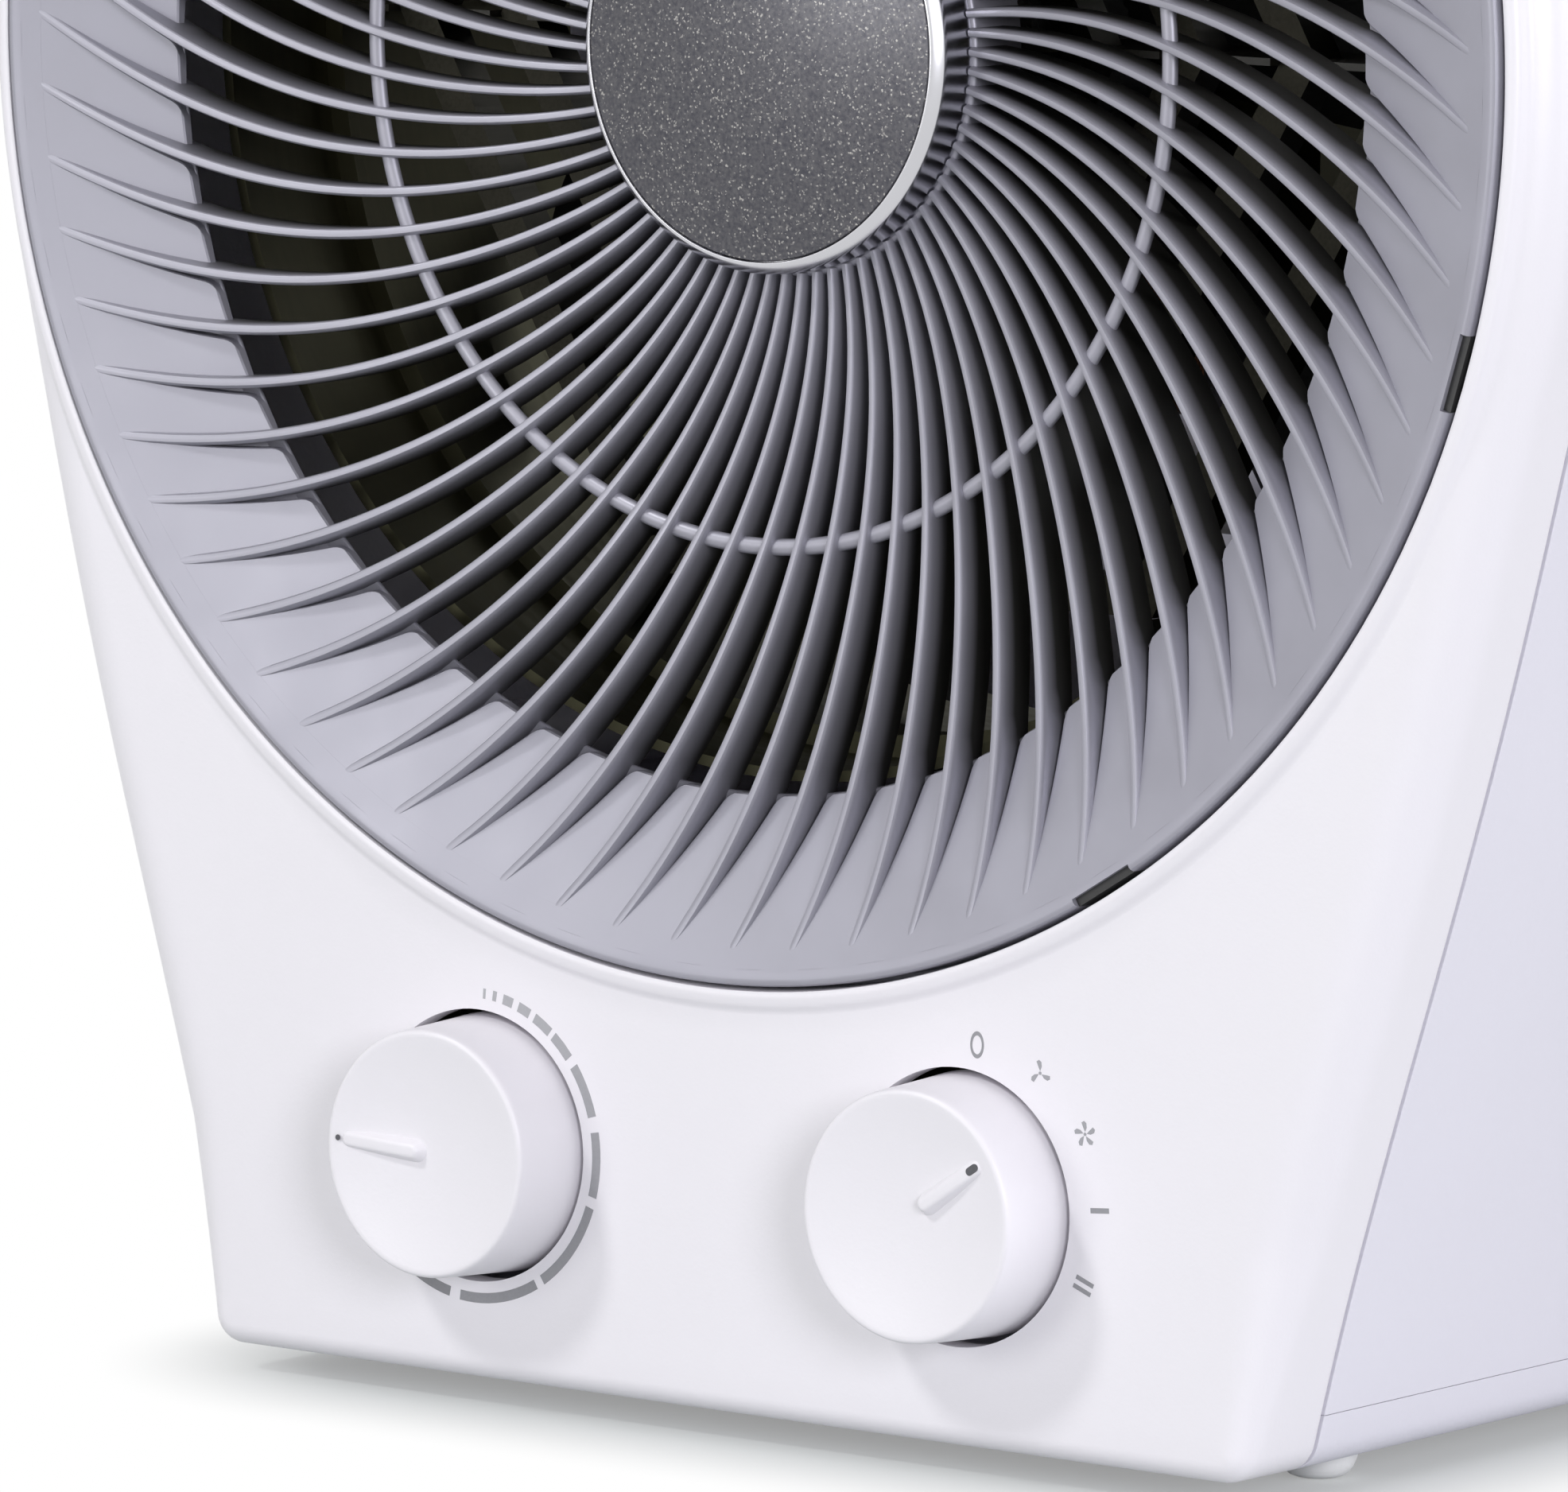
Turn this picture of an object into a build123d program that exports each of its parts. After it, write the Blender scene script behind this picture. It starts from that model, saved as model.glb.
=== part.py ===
from build123d import *
import math
import os

# Round-topped fan heater, millimetres. Front faces -Y, +Z is up, the floor is Z = 0 and the
# origin lies under the middle of the body. "Depth" is measured to the rear from the panel face,
# "height" from the axis of the fan. Angles in the front view run anticlockwise from +X.

# Body outline and moulded shells
OUTLINE_R = 132.0
SIDE_LEAN = 15.0
FLARE_HEIGHT = 30.0
FLARE_R = 500.0
BASE_DROP = 182.9
BASE_CORNER = 8.0
WALL = 2.5
PANEL_DEPTH = 15.9
PANEL_EDGE = 8.0
SEAM = 0.75
BODY_DEPTH = 140.0
BODY_TAPER = 1.7
REAR_ROUND = 12.0
TONGUE = 4.0
TONGUE_WALL = 1.6
SLIP = 0.2
TRAY_HEIGHT = 7.7
TRAY_SEAM = 0.3
LIP_RISE = 4.2

# Feet
FOOT_HEIGHT = 3.8
FOOT_R = 7.0
FOOT_ROUND = 1.5
FOOT_STEM_R = 3.0
FEET = {
    "foot_front_left": (-76.5, 33.0),
    "foot_front_right": (76.5, 33.0),
    "foot_rear_left": (-72.0, 118.0),
    "foot_rear_right": (72.0, 118.0),
}

# Front opening and its swirl grille
OPENING_R = 125.2
BEAD = 0.9
BEAD_WIDTH = 2.7
COLLAR_DEPTH = 9.0
GRILLE_GAP = 0.7
RING_STAND = 1.7
RING_INNER_R = 99.5
RING_INNER_DEPTH = 5.2
RING_WALL = 2.0
NOTCH_COUNT = 8
NOTCH_LENGTH = 9.5
NOTCH_ANGLE = -17.0
FIN_COUNT = 75
FIN_ROOT_WALL = 1.4
FIN_TIP_WALL = 1.9
FIN_TILT = 12.0
# Stations along a fin: radius, angle, depth of its front edge and of its rear edge
FIN_LINE = [
    (30.6, 1.4, 13.0, 23.0),
    (44.0, -1.1, 11.2, 21.0),
    (60.0, -4.7, 7.7, 17.5),
    (76.0, -8.9, 4.5, 14.0),
    (92.0, -13.3, 2.4, 10.5),
    (102.0, -16.1, 1.3, 5.6),
    (120.6, -21.5, -0.6, 0.3),
]
ROD_R = 66.6
ROD_WIDTH = 2.2
ROD_FRONT = 7.4
HUB_R = 30.8
HUB_BORE_R = 25.0
HUB_FRONT = 14.0
HUB_LENGTH = 10.0

# Hub cap and its inlaid disc
CAP_R = 30.2
CAP_FRONT = 6.7
CAP_BEVEL = 1.5
DISC_R = 28.4
DISC_WALL = 1.2
CAP_WALL = 2.0
CAP_SLIP = 0.1

# Control knobs
KNOB_X = 40.7
KNOB_DROP = 150.7
KNOB_HOLE_R = 18.6
KNOB_FACE_R = 16.8
KNOB_SKIRT_R = 17.8
KNOB_STAND = 11.3
KNOB_SKIRT_DEPTH = 4.5
KNOB_DISH = 1.1
KNOB_RIM = 0.9
KNOB_WALL = 1.8
KNOB_HUB_R = 5.5
KNOB_HUB_END = 8.0
POINTER_WIDTH = 2.4
POINTER_START = 2.5
THERMOSTAT_REST = 177.0
SELECTOR_REST = 34.0
SPINDLE_R = 3.0
SPINDLE_FLAT = 2.4
SHAFT_SLIP = 0.05

# Control plate, thermostat and switch behind the panel
PLATE_DEPTH = 22.0
PLATE_WALL = 1.5
PLATE_HALF_WIDTH = 67.0
PLATE_TOP = -131.0
PLATE_BOTTOM = -169.0
PLATE_POST_R = 3.5
PLATE_POSTS = [(-62.0, -136.0), (62.0, -136.0), (0.0, -136.0), (0.0, -164.0)]
BUSH_R = 4.8
BUSH_LENGTH = 6.0
NUT_FLATS = 14.0
NUT_WALL = 3.0
CONTROL_DEPTH = 20.0
THERMOSTAT_WIDTH = 30.0
THERMOSTAT_HEIGHT = 26.0
SWITCH_R = 15.5
BLADE_WIDTH = 6.3
BLADE_WALL = 0.8
BLADE_LENGTH = 8.0
SWITCH_BLADES = 5
SPINDLE_END = 34.0

# Fan duct, posts and screws
DUCT_R = 97.0
DUCT_WALL = 1.5
DUCT_FRONT = 13.5
LEDGE_WIDTH = 3.0
LEDGE_WALL = 2.0
EAR_DEPTH = 86.5
EAR_WALL = 2.0
EAR_R = 106.0
EAR_WIDTH = 14.0
BRACKET_WALL = 1.5
POST_R = 4.5
TOWER_R = 5.5
TOWERS = [(-95.0, -106.0), (95.0, -106.0), (-76.0, -164.0), (76.0, -164.0)]
TOWER_FRONT = 30.0
TOWER_FLOOR = 3.0
BOSS_R = 4.0
SCREW_R = 1.5
SCREW_HEAD_R = 3.5
SCREW_HEAD = 2.2
SCREW_BITE = 14.0
PILOT_SLIP = 0.05
HOLE_SLIP = 0.3
TRAY_BOSS_X = 55.0
TRAY_PILLAR_R = 5.5
TRAY_PILLAR_RISE = 11.4

# Rear guard and cord gland
REAR_OPENING_R = 92.0
REAR_FLANGE = 4.5
REAR_FLANGE_WALL = 2.0
REAR_RING_R = 86.0
LOUVRE_ROWS = 17
LOUVRE_PITCH = 10.0
LOUVRE_DEPTH = 9.0
LOUVRE_RISE = 7.0
LOUVRE_WALL = 2.4
RIB_X = 30.0
RIB_WIDTH = 4.0
GLAND_X = 40.0
GLAND_DROP = 150.0
GLAND_SIZE = 12.0
GLAND_FLANGE = 2.0
GLAND_LIP = 2.0
GLAND_BORE_R = 4.0

# Impeller and shaded-pole motor
IMPELLER_R = 93.0
IMPELLER_HUB_R = 20.0
IMPELLER_FRONT = 60.0
IMPELLER_REAR = 84.0
BLADE_COUNT = 7
ROOT_CHORD = 25.0
ROOT_PITCH = 52.0
TIP_CHORD = 42.0
TIP_PITCH = 28.0
BLADE_CAMBER = 3.5
BLADE_SKIN = 1.6
SHAFT_R = 3.0
SHAFT_END_PLAY = 2.0
CLIP_R = 7.0
CLIP_WALL = 1.5
CORE_STACK = 16.0
CORE_HALF_WIDTH = 26.0
CORE_TOP = 22.0
CORE_BOTTOM = -46.0
CORE_BAR = 14.0
WINDOW_HALF_WIDTH = 15.0
WINDOW_TOP = -17.0
ROTOR_R = 13.1
AIR_GAP = 0.5
BOBBIN_WALL = 1.2
BOBBIN_RIM = 0.8
COIL_WALL = 7.0
BRIDGE_HEIGHT = 12.0
BRIDGE_BAR = 4.0
BRIDGE_BOSS_R = 8.5
BRIDGE_GAP = 1.5
BRIDGE_REACH = 10.0
BEARING_R = 6.0
MOTOR_BOLT_X = 21.0
MOTOR_BOLT_R = 1.9
MOTOR_BOLT_SLIP = 0.1
MOTOR_PLATE_R = 30.0
MOTOR_PLATE_HOLE_R = 10.0

# Heater inside the duct
HEATER_FRONT = 36.0
HEATER_DEPTH = 18.0
HEATER_BAND = 1.0
HEATER_FIT = 0.3
CARD_WALL = 1.0
CARD_COUNT = 3
COIL_R = 3.0
INNER_COILS = [30.0, 48.0]
OUTER_COILS = [66.0, 84.0]
COIL_GAP = 6.0
CUTOUT_R = 9.0
CUTOUT_HEIGHT = 8.0
FUSE_R = 2.0
FUSE_LENGTH = 12.0
FUSE_CENTRE = 18.0

# Terminal block on the base tray
BLOCK_LENGTH = 40.0
BLOCK_WIDTH = 16.0
BLOCK_HEIGHT = 14.0
BLOCK_X = -10.0
BLOCK_DEPTH = 110.0
BLOCK_POLES = 3
BLOCK_HOLE_R = 2.5

# Values worked out from the driving dimensions
OVERCUT = 1.0
AXIS_Z = BASE_DROP + FOOT_HEIGHT
BODY_FRONT = PANEL_DEPTH + SEAM
GLAND_REAR = BODY_DEPTH + GLAND_FLANGE
FRONT_Y = -(GLAND_REAR - KNOB_STAND) / 2
BACK_INNER = BODY_DEPTH - WALL
TRAY_TOP = -BASE_DROP + TRAY_HEIGHT
FLOOR_INNER = -BASE_DROP + WALL
BRACKET_DEPTH = EAR_DEPTH + EAR_WALL
POST_DEPTH = BRACKET_DEPTH + BRACKET_WALL
CORE_FRONT = POST_DEPTH + BRIDGE_REACH
CORE_REAR = CORE_FRONT + CORE_STACK
BORE_R = ROTOR_R + AIR_GAP
PLATE_REAR = PLATE_DEPTH + PLATE_WALL
RING_FRONT_R = OPENING_R - 2 * GRILLE_GAP
TRAY_SEAT = FLOOR_INNER + TRAY_PILLAR_RISE
TRAY_BOSS_DEPTH = BACK_INNER - TRAY_PILLAR_R - WALL
COIL_DEPTH = HEATER_FRONT + 2 * CARD_WALL + COIL_R
AXLE = Axis((0, 0, AXIS_Z), (0, 1, 0))


def slab(sketch, near, far):
    """Front-view sketch extruded between two depths behind the panel face."""
    plane = Plane(origin=(0, FRONT_Y + far, AXIS_Z), x_dir=(1, 0, 0), z_dir=(0, -1, 0))
    return extrude(plane * sketch, far - near)


def rod(radius, near, far, x=0.0, height=0.0):
    """Round bar that runs front to back."""
    return slab(Pos(x, height) * Circle(radius), near, far)


def tube(inner, outer, near, far, x=0.0, height=0.0):
    """Round tube that runs front to back."""
    return slab(Pos(x, height) * (Circle(outer) - Circle(inner)), near, far)


def block(x, depth, height):
    """Box given by its lowest and highest x, depth and height."""
    size = [high - low for low, high in (x, depth, height)]
    corner = (x[0], FRONT_Y + depth[0], AXIS_Z + height[0])
    return Pos(*corner) * Box(*size, align=(Align.MIN, Align.MIN, Align.MIN))


def turned(points, x=0.0, height=0.0, sweep=360.0):
    """Profile of (radius, depth) points turned about an axis that runs front to back."""
    plane = Plane(origin=(x, FRONT_Y, AXIS_Z + height), x_dir=(1, 0, 0), z_dir=(0, 0, 1))
    axis = Axis((x, 0, AXIS_Z + height), (0, 1, 0))
    return revolve(plane * make_face(Polyline(*points, close=True)), axis, sweep)


def upright(points, x, depth):
    """Profile of (radius, height) points turned about a vertical axis."""
    plane = Plane(origin=(x, FRONT_Y + depth, AXIS_Z), x_dir=(1, 0, 0), z_dir=(0, -1, 0))
    axis = Axis((x, FRONT_Y + depth, 0), (0, 0, 1))
    return revolve(plane * make_face(Polyline(*points, close=True)), axis)


def stud(radius, low, high, x, depth):
    """Round bar that stands upright."""
    return upright([(0, low), (radius, low), (radius, high), (0, high)], x, depth)


def polar(radius, angle):
    """Front-view point at a radius and an angle in degrees."""
    turn = math.radians(angle)
    return (radius * math.cos(turn), radius * math.sin(turn))


def spun(solid, angle):
    """Copy of a solid turned about the fan axis, anticlockwise seen from the front."""
    return solid.rotate(AXLE, -angle)


def group(solids):
    """Separate solids that share one node."""
    return Compound(children=list(solids))


def outline(drop):
    """Front view of the body: round top, leaning sides and a flare into the base."""
    lean = math.radians(SIDE_LEAN)
    normal = (math.cos(lean), -math.sin(lean))
    tangent = (OUTLINE_R * normal[0], OUTLINE_R * normal[1])
    flare_top = -BASE_DROP + FLARE_HEIGHT
    flare = (tangent[0] - (tangent[1] - flare_top) * math.tan(lean), flare_top)
    centre = (flare[0] + FLARE_R * normal[0], flare[1] + FLARE_R * normal[1])
    end = math.asin((-drop - centre[1]) / FLARE_R)
    turns = ((lean + end) / 2, end)
    arc = [(centre[0] - FLARE_R * math.cos(t), centre[1] + FLARE_R * math.sin(t)) for t in turns]
    mirrored = [(-x, y) for x, y in (tangent, flare, *arc)]
    edges = [
        ThreePointArc(mirrored[0], (0, OUTLINE_R), tangent),
        Line(tangent, flare),
        ThreePointArc(flare, arc[0], arc[1]),
        Line(arc[1], mirrored[3]),
        ThreePointArc(mirrored[3], mirrored[2], mirrored[1]),
        Line(mirrored[1], mirrored[0]),
    ]
    return make_face(edges)


def panel_face():
    """Outline of the front panel with its rounded bottom corners."""
    face = outline(BASE_DROP)
    return fillet(face.vertices().group_by(Axis.Y)[0], BASE_CORNER)


def body_form(inset):
    """Solid form of the body behind the seam, drawn in by an inset all round."""
    rear = BODY_DEPTH - inset
    start = Plane(origin=(0, FRONT_Y + BODY_FRONT, AXIS_Z), x_dir=(-1, 0, 0), z_dir=(0, 1, 0))
    face = outline(BASE_DROP + 3 * BASE_CORNER)
    if inset:
        face = offset(face, -inset)
    form = extrude(start * face, rear - BODY_FRONT, taper=BODY_TAPER)
    spread = 2 * OUTLINE_R
    form -= block((-spread, spread), (0, 2 * BODY_DEPTH), (-2 * BASE_DROP, -BASE_DROP + inset))
    sole = form.faces().sort_by(Axis.Z)[0].edges().sort_by(Axis.X)
    form = fillet([sole[0], sole[-1]], BASE_CORNER - inset)
    return fillet(form.faces().sort_by(Axis.Y)[-1].edges(), REAR_ROUND - inset)


def body_shell():
    """Walls of the body behind the seam, with the tongue that slips into the panel."""
    shell = body_form(0) - body_form(WALL)
    outer = offset(panel_face(), -(WALL + SLIP))
    seated = offset(panel_face(), -WALL / 2)
    inner = offset(panel_face(), -(WALL + SLIP + TONGUE_WALL))
    shell += slab(outer - inner, PANEL_DEPTH - TONGUE, BODY_FRONT + TONGUE_WALL)
    return shell + slab(seated - inner, BODY_FRONT, BODY_FRONT + TONGUE_WALL)


def half_space(low, high):
    """Block that spans the body between two heights."""
    return block((-2 * OUTLINE_R, 2 * OUTLINE_R), (-BODY_DEPTH, 2 * BODY_DEPTH), (low, high))


def front_panel():
    face = panel_face()
    panel = slab(face, 0, PANEL_DEPTH)
    panel = fillet(panel.faces().sort_by(Axis.Y)[0].edges(), PANEL_EDGE)
    hollow = slab(offset(face, -WALL), WALL, PANEL_DEPTH + OVERCUT)
    hollow = chamfer(hollow.faces().sort_by(Axis.Y)[0].edges(), PANEL_EDGE - 2 * WALL)
    panel -= hollow
    bead_r = OPENING_R + BEAD_WIDTH
    panel += turned([
        (OPENING_R - OVERCUT, COLLAR_DEPTH),
        (OPENING_R - OVERCUT, -BEAD),
        (OPENING_R + BEAD_WIDTH / 2, -BEAD),
        (bead_r, WALL / 2),
        (bead_r, COLLAR_DEPTH),
    ])
    for x, height in TOWERS:
        panel += rod(BOSS_R, WALL / 2, TOWER_FRONT, x, height)
        panel -= rod(SCREW_R + PILOT_SLIP, TOWER_FRONT - SCREW_BITE - OVERCUT, TOWER_FRONT, x, height)
    for x, height in PLATE_POSTS:
        panel += rod(PLATE_POST_R, WALL / 2, PLATE_DEPTH, x, height)
        panel -= rod(SCREW_R + PILOT_SLIP, PLATE_DEPTH - SCREW_BITE - OVERCUT, PLATE_DEPTH, x, height)
    panel -= rod(OPENING_R, -2 * BEAD, COLLAR_DEPTH + OVERCUT)
    for x in (-KNOB_X, KNOB_X):
        panel -= rod(KNOB_HOLE_R, -OVERCUT, 2 * WALL, x, -KNOB_DROP)
    return panel


def rear_casing():
    casing = body_shell()
    casing -= half_space(-2 * BASE_DROP, TRAY_TOP + TRAY_SEAM)
    for x, height in TOWERS:
        casing += rod(TOWER_R, TOWER_FRONT, BACK_INNER + WALL / 2, x, height)
        head_seat = TOWER_FRONT + TOWER_FLOOR
        casing -= rod(SCREW_HEAD_R + HOLE_SLIP, head_seat, BODY_DEPTH + OVERCUT, x, height)
        casing -= rod(SCREW_R + HOLE_SLIP, TOWER_FRONT, head_seat, x, height)
    for quarter in range(4):
        x, height = polar(EAR_R, 45 + 90 * quarter)
        casing += rod(POST_R, POST_DEPTH, BACK_INNER + WALL / 2, x, height)
        casing -= rod(SCREW_R + PILOT_SLIP, POST_DEPTH, POST_DEPTH + SCREW_BITE, x, height)
    for x in (-TRAY_BOSS_X, TRAY_BOSS_X):
        rise = (TRAY_SEAT, TRAY_SEAT + SCREW_BITE + WALL)
        casing += stud(BOSS_R, *rise, x, TRAY_BOSS_DEPTH)
        rib_run = (TRAY_BOSS_DEPTH, BACK_INNER + WALL / 2)
        casing += block((x - WALL / 2, x + WALL / 2), rib_run, rise)
        casing -= stud(SCREW_R + PILOT_SLIP, TRAY_SEAT, TRAY_SEAT + SCREW_BITE, x, TRAY_BOSS_DEPTH)
    casing -= rod(REAR_OPENING_R, BACK_INNER - OVERCUT, BODY_DEPTH + OVERCUT)
    casing -= gland_square(GLAND_SIZE + 2 * SLIP, BACK_INNER - OVERCUT, BODY_DEPTH + OVERCUT)
    return casing


def base_tray():
    lip_inset = WALL + SLIP
    lip_inner = body_form(lip_inset + TONGUE_WALL)
    tray = body_shell() & half_space(-2 * BASE_DROP, TRAY_TOP)
    shelf_span = (BODY_FRONT + TONGUE_WALL / 2, 2 * BODY_DEPTH)
    shelf = block((-2 * OUTLINE_R, 2 * OUTLINE_R), shelf_span, (TRAY_TOP - TONGUE_WALL, TRAY_TOP))
    lowered = Pos(0, 0, -LIP_RISE) * body_form(lip_inset + 2 * TONGUE_WALL)
    tray += (body_form(WALL / 2) - lowered) & shelf
    lip = (body_form(lip_inset) - lip_inner) & half_space(TRAY_TOP, TRAY_TOP + LIP_RISE)
    lip -= block((-2 * OUTLINE_R, 2 * OUTLINE_R), (0, BODY_FRONT + TONGUE_WALL + SLIP), (TRAY_TOP, 0))
    tray += lip
    head_seat = TRAY_SEAT - TOWER_FLOOR
    well_r = SCREW_HEAD_R + HOLE_SLIP
    for x in (-TRAY_BOSS_X, TRAY_BOSS_X):
        tray += stud(TRAY_PILLAR_R, FLOOR_INNER - WALL / 2, TRAY_SEAT, x, TRAY_BOSS_DEPTH)
        tray -= stud(well_r, -BASE_DROP - OVERCUT, head_seat, x, TRAY_BOSS_DEPTH)
        tray -= stud(SCREW_R + HOLE_SLIP, -BASE_DROP, TRAY_SEAT, x, TRAY_BOSS_DEPTH)
    for x, depth in FEET.values():
        tray -= stud(FOOT_STEM_R + SHAFT_SLIP, -BASE_DROP - OVERCUT, FLOOR_INNER + OVERCUT, x, depth)
    return tray


def foot(x, depth):
    """Push-in foot: domed pad under the tray and a stem through it."""
    sole = -BASE_DROP - FOOT_HEIGHT
    return upright([
        (0, sole),
        (FOOT_R - FOOT_ROUND, sole),
        (FOOT_R, sole + FOOT_ROUND),
        (FOOT_R, -BASE_DROP),
        (FOOT_STEM_R, -BASE_DROP),
        (FOOT_STEM_R, FLOOR_INNER),
        (0, FLOOR_INNER),
    ], x, depth)


def fin():
    """One swept fin: upright sections joined along its stations, each leaning as it goes back."""
    line = [Vector(*polar(radius, angle)) for radius, angle, _, _ in FIN_LINE]
    last = len(line) - 1
    sections = []
    for index, (_, _, front, rear) in enumerate(FIN_LINE):
        run = line[min(index + 1, last)] - line[max(index - 1, 0)]
        wall = FIN_ROOT_WALL + (FIN_TIP_WALL - FIN_ROOT_WALL) * index / last
        middle = (line[index].X, FRONT_Y + (front + rear) / 2, AXIS_Z + line[index].Y)
        place = Plane(origin=middle, x_dir=(0, 1, 0), z_dir=(run.X, 0, run.Y))
        sections.append(place * Rot(0, 0, FIN_TILT) * Rectangle(rear - front, wall))
    return loft(sections, ruled=True)


def front_grille():
    ring_r = OPENING_R - GRILLE_GAP
    flange_r = OPENING_R + BEAD_WIDTH - GRILLE_GAP
    ring = turned([
        (RING_INNER_R, RING_INNER_DEPTH),
        (RING_FRONT_R, -RING_STAND),
        (ring_r, -RING_STAND + GRILLE_GAP),
        (ring_r, COLLAR_DEPTH),
        (flange_r, COLLAR_DEPTH),
        (flange_r, COLLAR_DEPTH + RING_WALL),
        (ring_r - RING_WALL, COLLAR_DEPTH + RING_WALL),
        (ring_r - RING_WALL, RING_WALL),
        (RING_INNER_R, RING_INNER_DEPTH + RING_WALL),
    ])
    for index in range(NOTCH_COUNT):
        angle = NOTCH_ANGLE + index * 360 / NOTCH_COUNT
        notch = Rot(0, 0, angle) * Pos(ring_r, 0) * Rectangle(RING_WALL, NOTCH_LENGTH)
        ring -= slab(notch, 0, COLLAR_DEPTH - RING_WALL)
    hub = tube(HUB_BORE_R, HUB_R, HUB_FRONT, HUB_FRONT + HUB_LENGTH)
    stay = tube(ROD_R - ROD_WIDTH / 2, ROD_R + ROD_WIDTH / 2, ROD_FRONT, ROD_FRONT + ROD_WIDTH)
    blade = fin()
    fins = [spun(blade, index * 360 / FIN_COUNT) for index in range(FIN_COUNT)]
    return ring + [hub, stay, *fins]


def hub_cap():
    seat = CAP_FRONT + DISC_WALL
    rim_r = DISC_R + CAP_SLIP
    skirt_r = CAP_R - CAP_SLIP
    spigot_r = HUB_BORE_R - SLIP
    return turned([
        (0, seat),
        (rim_r, seat),
        (rim_r, CAP_FRONT),
        (CAP_R, CAP_FRONT + CAP_BEVEL),
        (skirt_r, HUB_FRONT),
        (skirt_r - CAP_WALL, HUB_FRONT),
        (skirt_r - CAP_WALL, seat + CAP_WALL),
        (spigot_r, seat + CAP_WALL),
        (spigot_r, HUB_FRONT + HUB_LENGTH / 2),
        (spigot_r - CAP_WALL, HUB_FRONT + HUB_LENGTH / 2),
        (spigot_r - CAP_WALL, seat + CAP_WALL),
        (0, seat + CAP_WALL),
    ])


def hub_disc():
    return rod(DISC_R, CAP_FRONT, CAP_FRONT + DISC_WALL)


def knob(x, pointer):
    """Hollow tapered knob with a dished face, a pointer ridge and a flatted bore."""
    face_centre = -KNOB_STAND + KNOB_DISH
    rim = (KNOB_FACE_R - KNOB_RIM, -KNOB_STAND)
    crown = (KNOB_FACE_R, -KNOB_STAND + KNOB_RIM)
    roof = face_centre + KNOB_WALL
    profile = make_face([
        TangentArc((0, face_centre), rim, tangent=(1, 0)),
        Polyline(
            rim,
            crown,
            (KNOB_SKIRT_R, KNOB_SKIRT_DEPTH),
            (KNOB_SKIRT_R - KNOB_WALL, KNOB_SKIRT_DEPTH),
            (KNOB_FACE_R - KNOB_WALL, roof),
            (KNOB_HUB_R, roof),
            (KNOB_HUB_R, KNOB_HUB_END),
            (0, KNOB_HUB_END),
            (0, face_centre),
        ),
    ])
    plane = Plane(origin=(x, FRONT_Y, AXIS_Z - KNOB_DROP), x_dir=(1, 0, 0), z_dir=(0, 0, 1))
    axis = Axis((x, 0, AXIS_Z - KNOB_DROP), (0, 1, 0))
    body = revolve(plane * profile, axis)
    reach = KNOB_FACE_R - 2 * KNOB_RIM - POINTER_START
    ridge = Rot(0, 0, pointer) * Pos(POINTER_START + reach / 2, 0) * Rectangle(reach, POINTER_WIDTH)
    body += slab(Pos(x, -KNOB_DROP) * ridge, -KNOB_STAND, roof - KNOB_WALL / 2)
    bore = flatted(SPINDLE_R + SHAFT_SLIP, SPINDLE_FLAT + SHAFT_SLIP, x)
    return body - slab(bore, roof, KNOB_HUB_END + OVERCUT)


def flatted(radius, flat, x):
    """Front-view D section of a control spindle."""
    section = Circle(radius) - Pos(flat + radius, 0) * Rectangle(2 * radius, 2 * radius)
    return Pos(x, -KNOB_DROP) * section


def spindle(x):
    roof = -KNOB_STAND + KNOB_DISH + KNOB_WALL
    flat = slab(flatted(SPINDLE_R, SPINDLE_FLAT, x), roof + SHAFT_SLIP, KNOB_HUB_END)
    return flat + rod(SPINDLE_R, KNOB_HUB_END, SPINDLE_END, x, -KNOB_DROP)


def control_plate():
    middle = (PLATE_TOP + PLATE_BOTTOM) / 2
    sheet = Pos(0, middle) * Rectangle(2 * PLATE_HALF_WIDTH, PLATE_TOP - PLATE_BOTTOM)
    for x in (-KNOB_X, KNOB_X):
        sheet -= Pos(x, -KNOB_DROP) * Circle(BUSH_R + SLIP)
    for x, height in PLATE_POSTS:
        sheet -= Pos(x, height) * Circle(SCREW_R + HOLE_SLIP)
    return slab(sheet, PLATE_DEPTH, PLATE_REAR)


def bushed(body, x):
    """Control body with its threaded neck through the plate and its spindle bore."""
    neck = rod(BUSH_R, PLATE_DEPTH - BUSH_LENGTH, PLATE_REAR + SHAFT_SLIP, x, -KNOB_DROP)
    bore = rod(SPINDLE_R + SHAFT_SLIP, 0, SPINDLE_END + SLIP, x, -KNOB_DROP)
    return body + neck - bore


def thermostat_body():
    half = THERMOSTAT_WIDTH / 2
    rise = THERMOSTAT_HEIGHT / 2
    case = block((-KNOB_X - half, -KNOB_X + half), (PLATE_REAR, PLATE_REAR + CONTROL_DEPTH),
                 (-KNOB_DROP - rise, -KNOB_DROP + rise))
    return bushed(case, -KNOB_X)


def selector_switch():
    case = rod(SWITCH_R, PLATE_REAR, PLATE_REAR + CONTROL_DEPTH, KNOB_X, -KNOB_DROP)
    return bushed(case, KNOB_X)


def control_nuts():
    hexagon = RegularPolygon(NUT_FLATS / 2, 6, major_radius=False) - Circle(BUSH_R + SHAFT_SLIP)
    places = [Pos(x, -KNOB_DROP) * hexagon for x in (-KNOB_X, KNOB_X)]
    return group(slab(place, PLATE_DEPTH - NUT_WALL, PLATE_DEPTH) for place in places)


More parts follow.
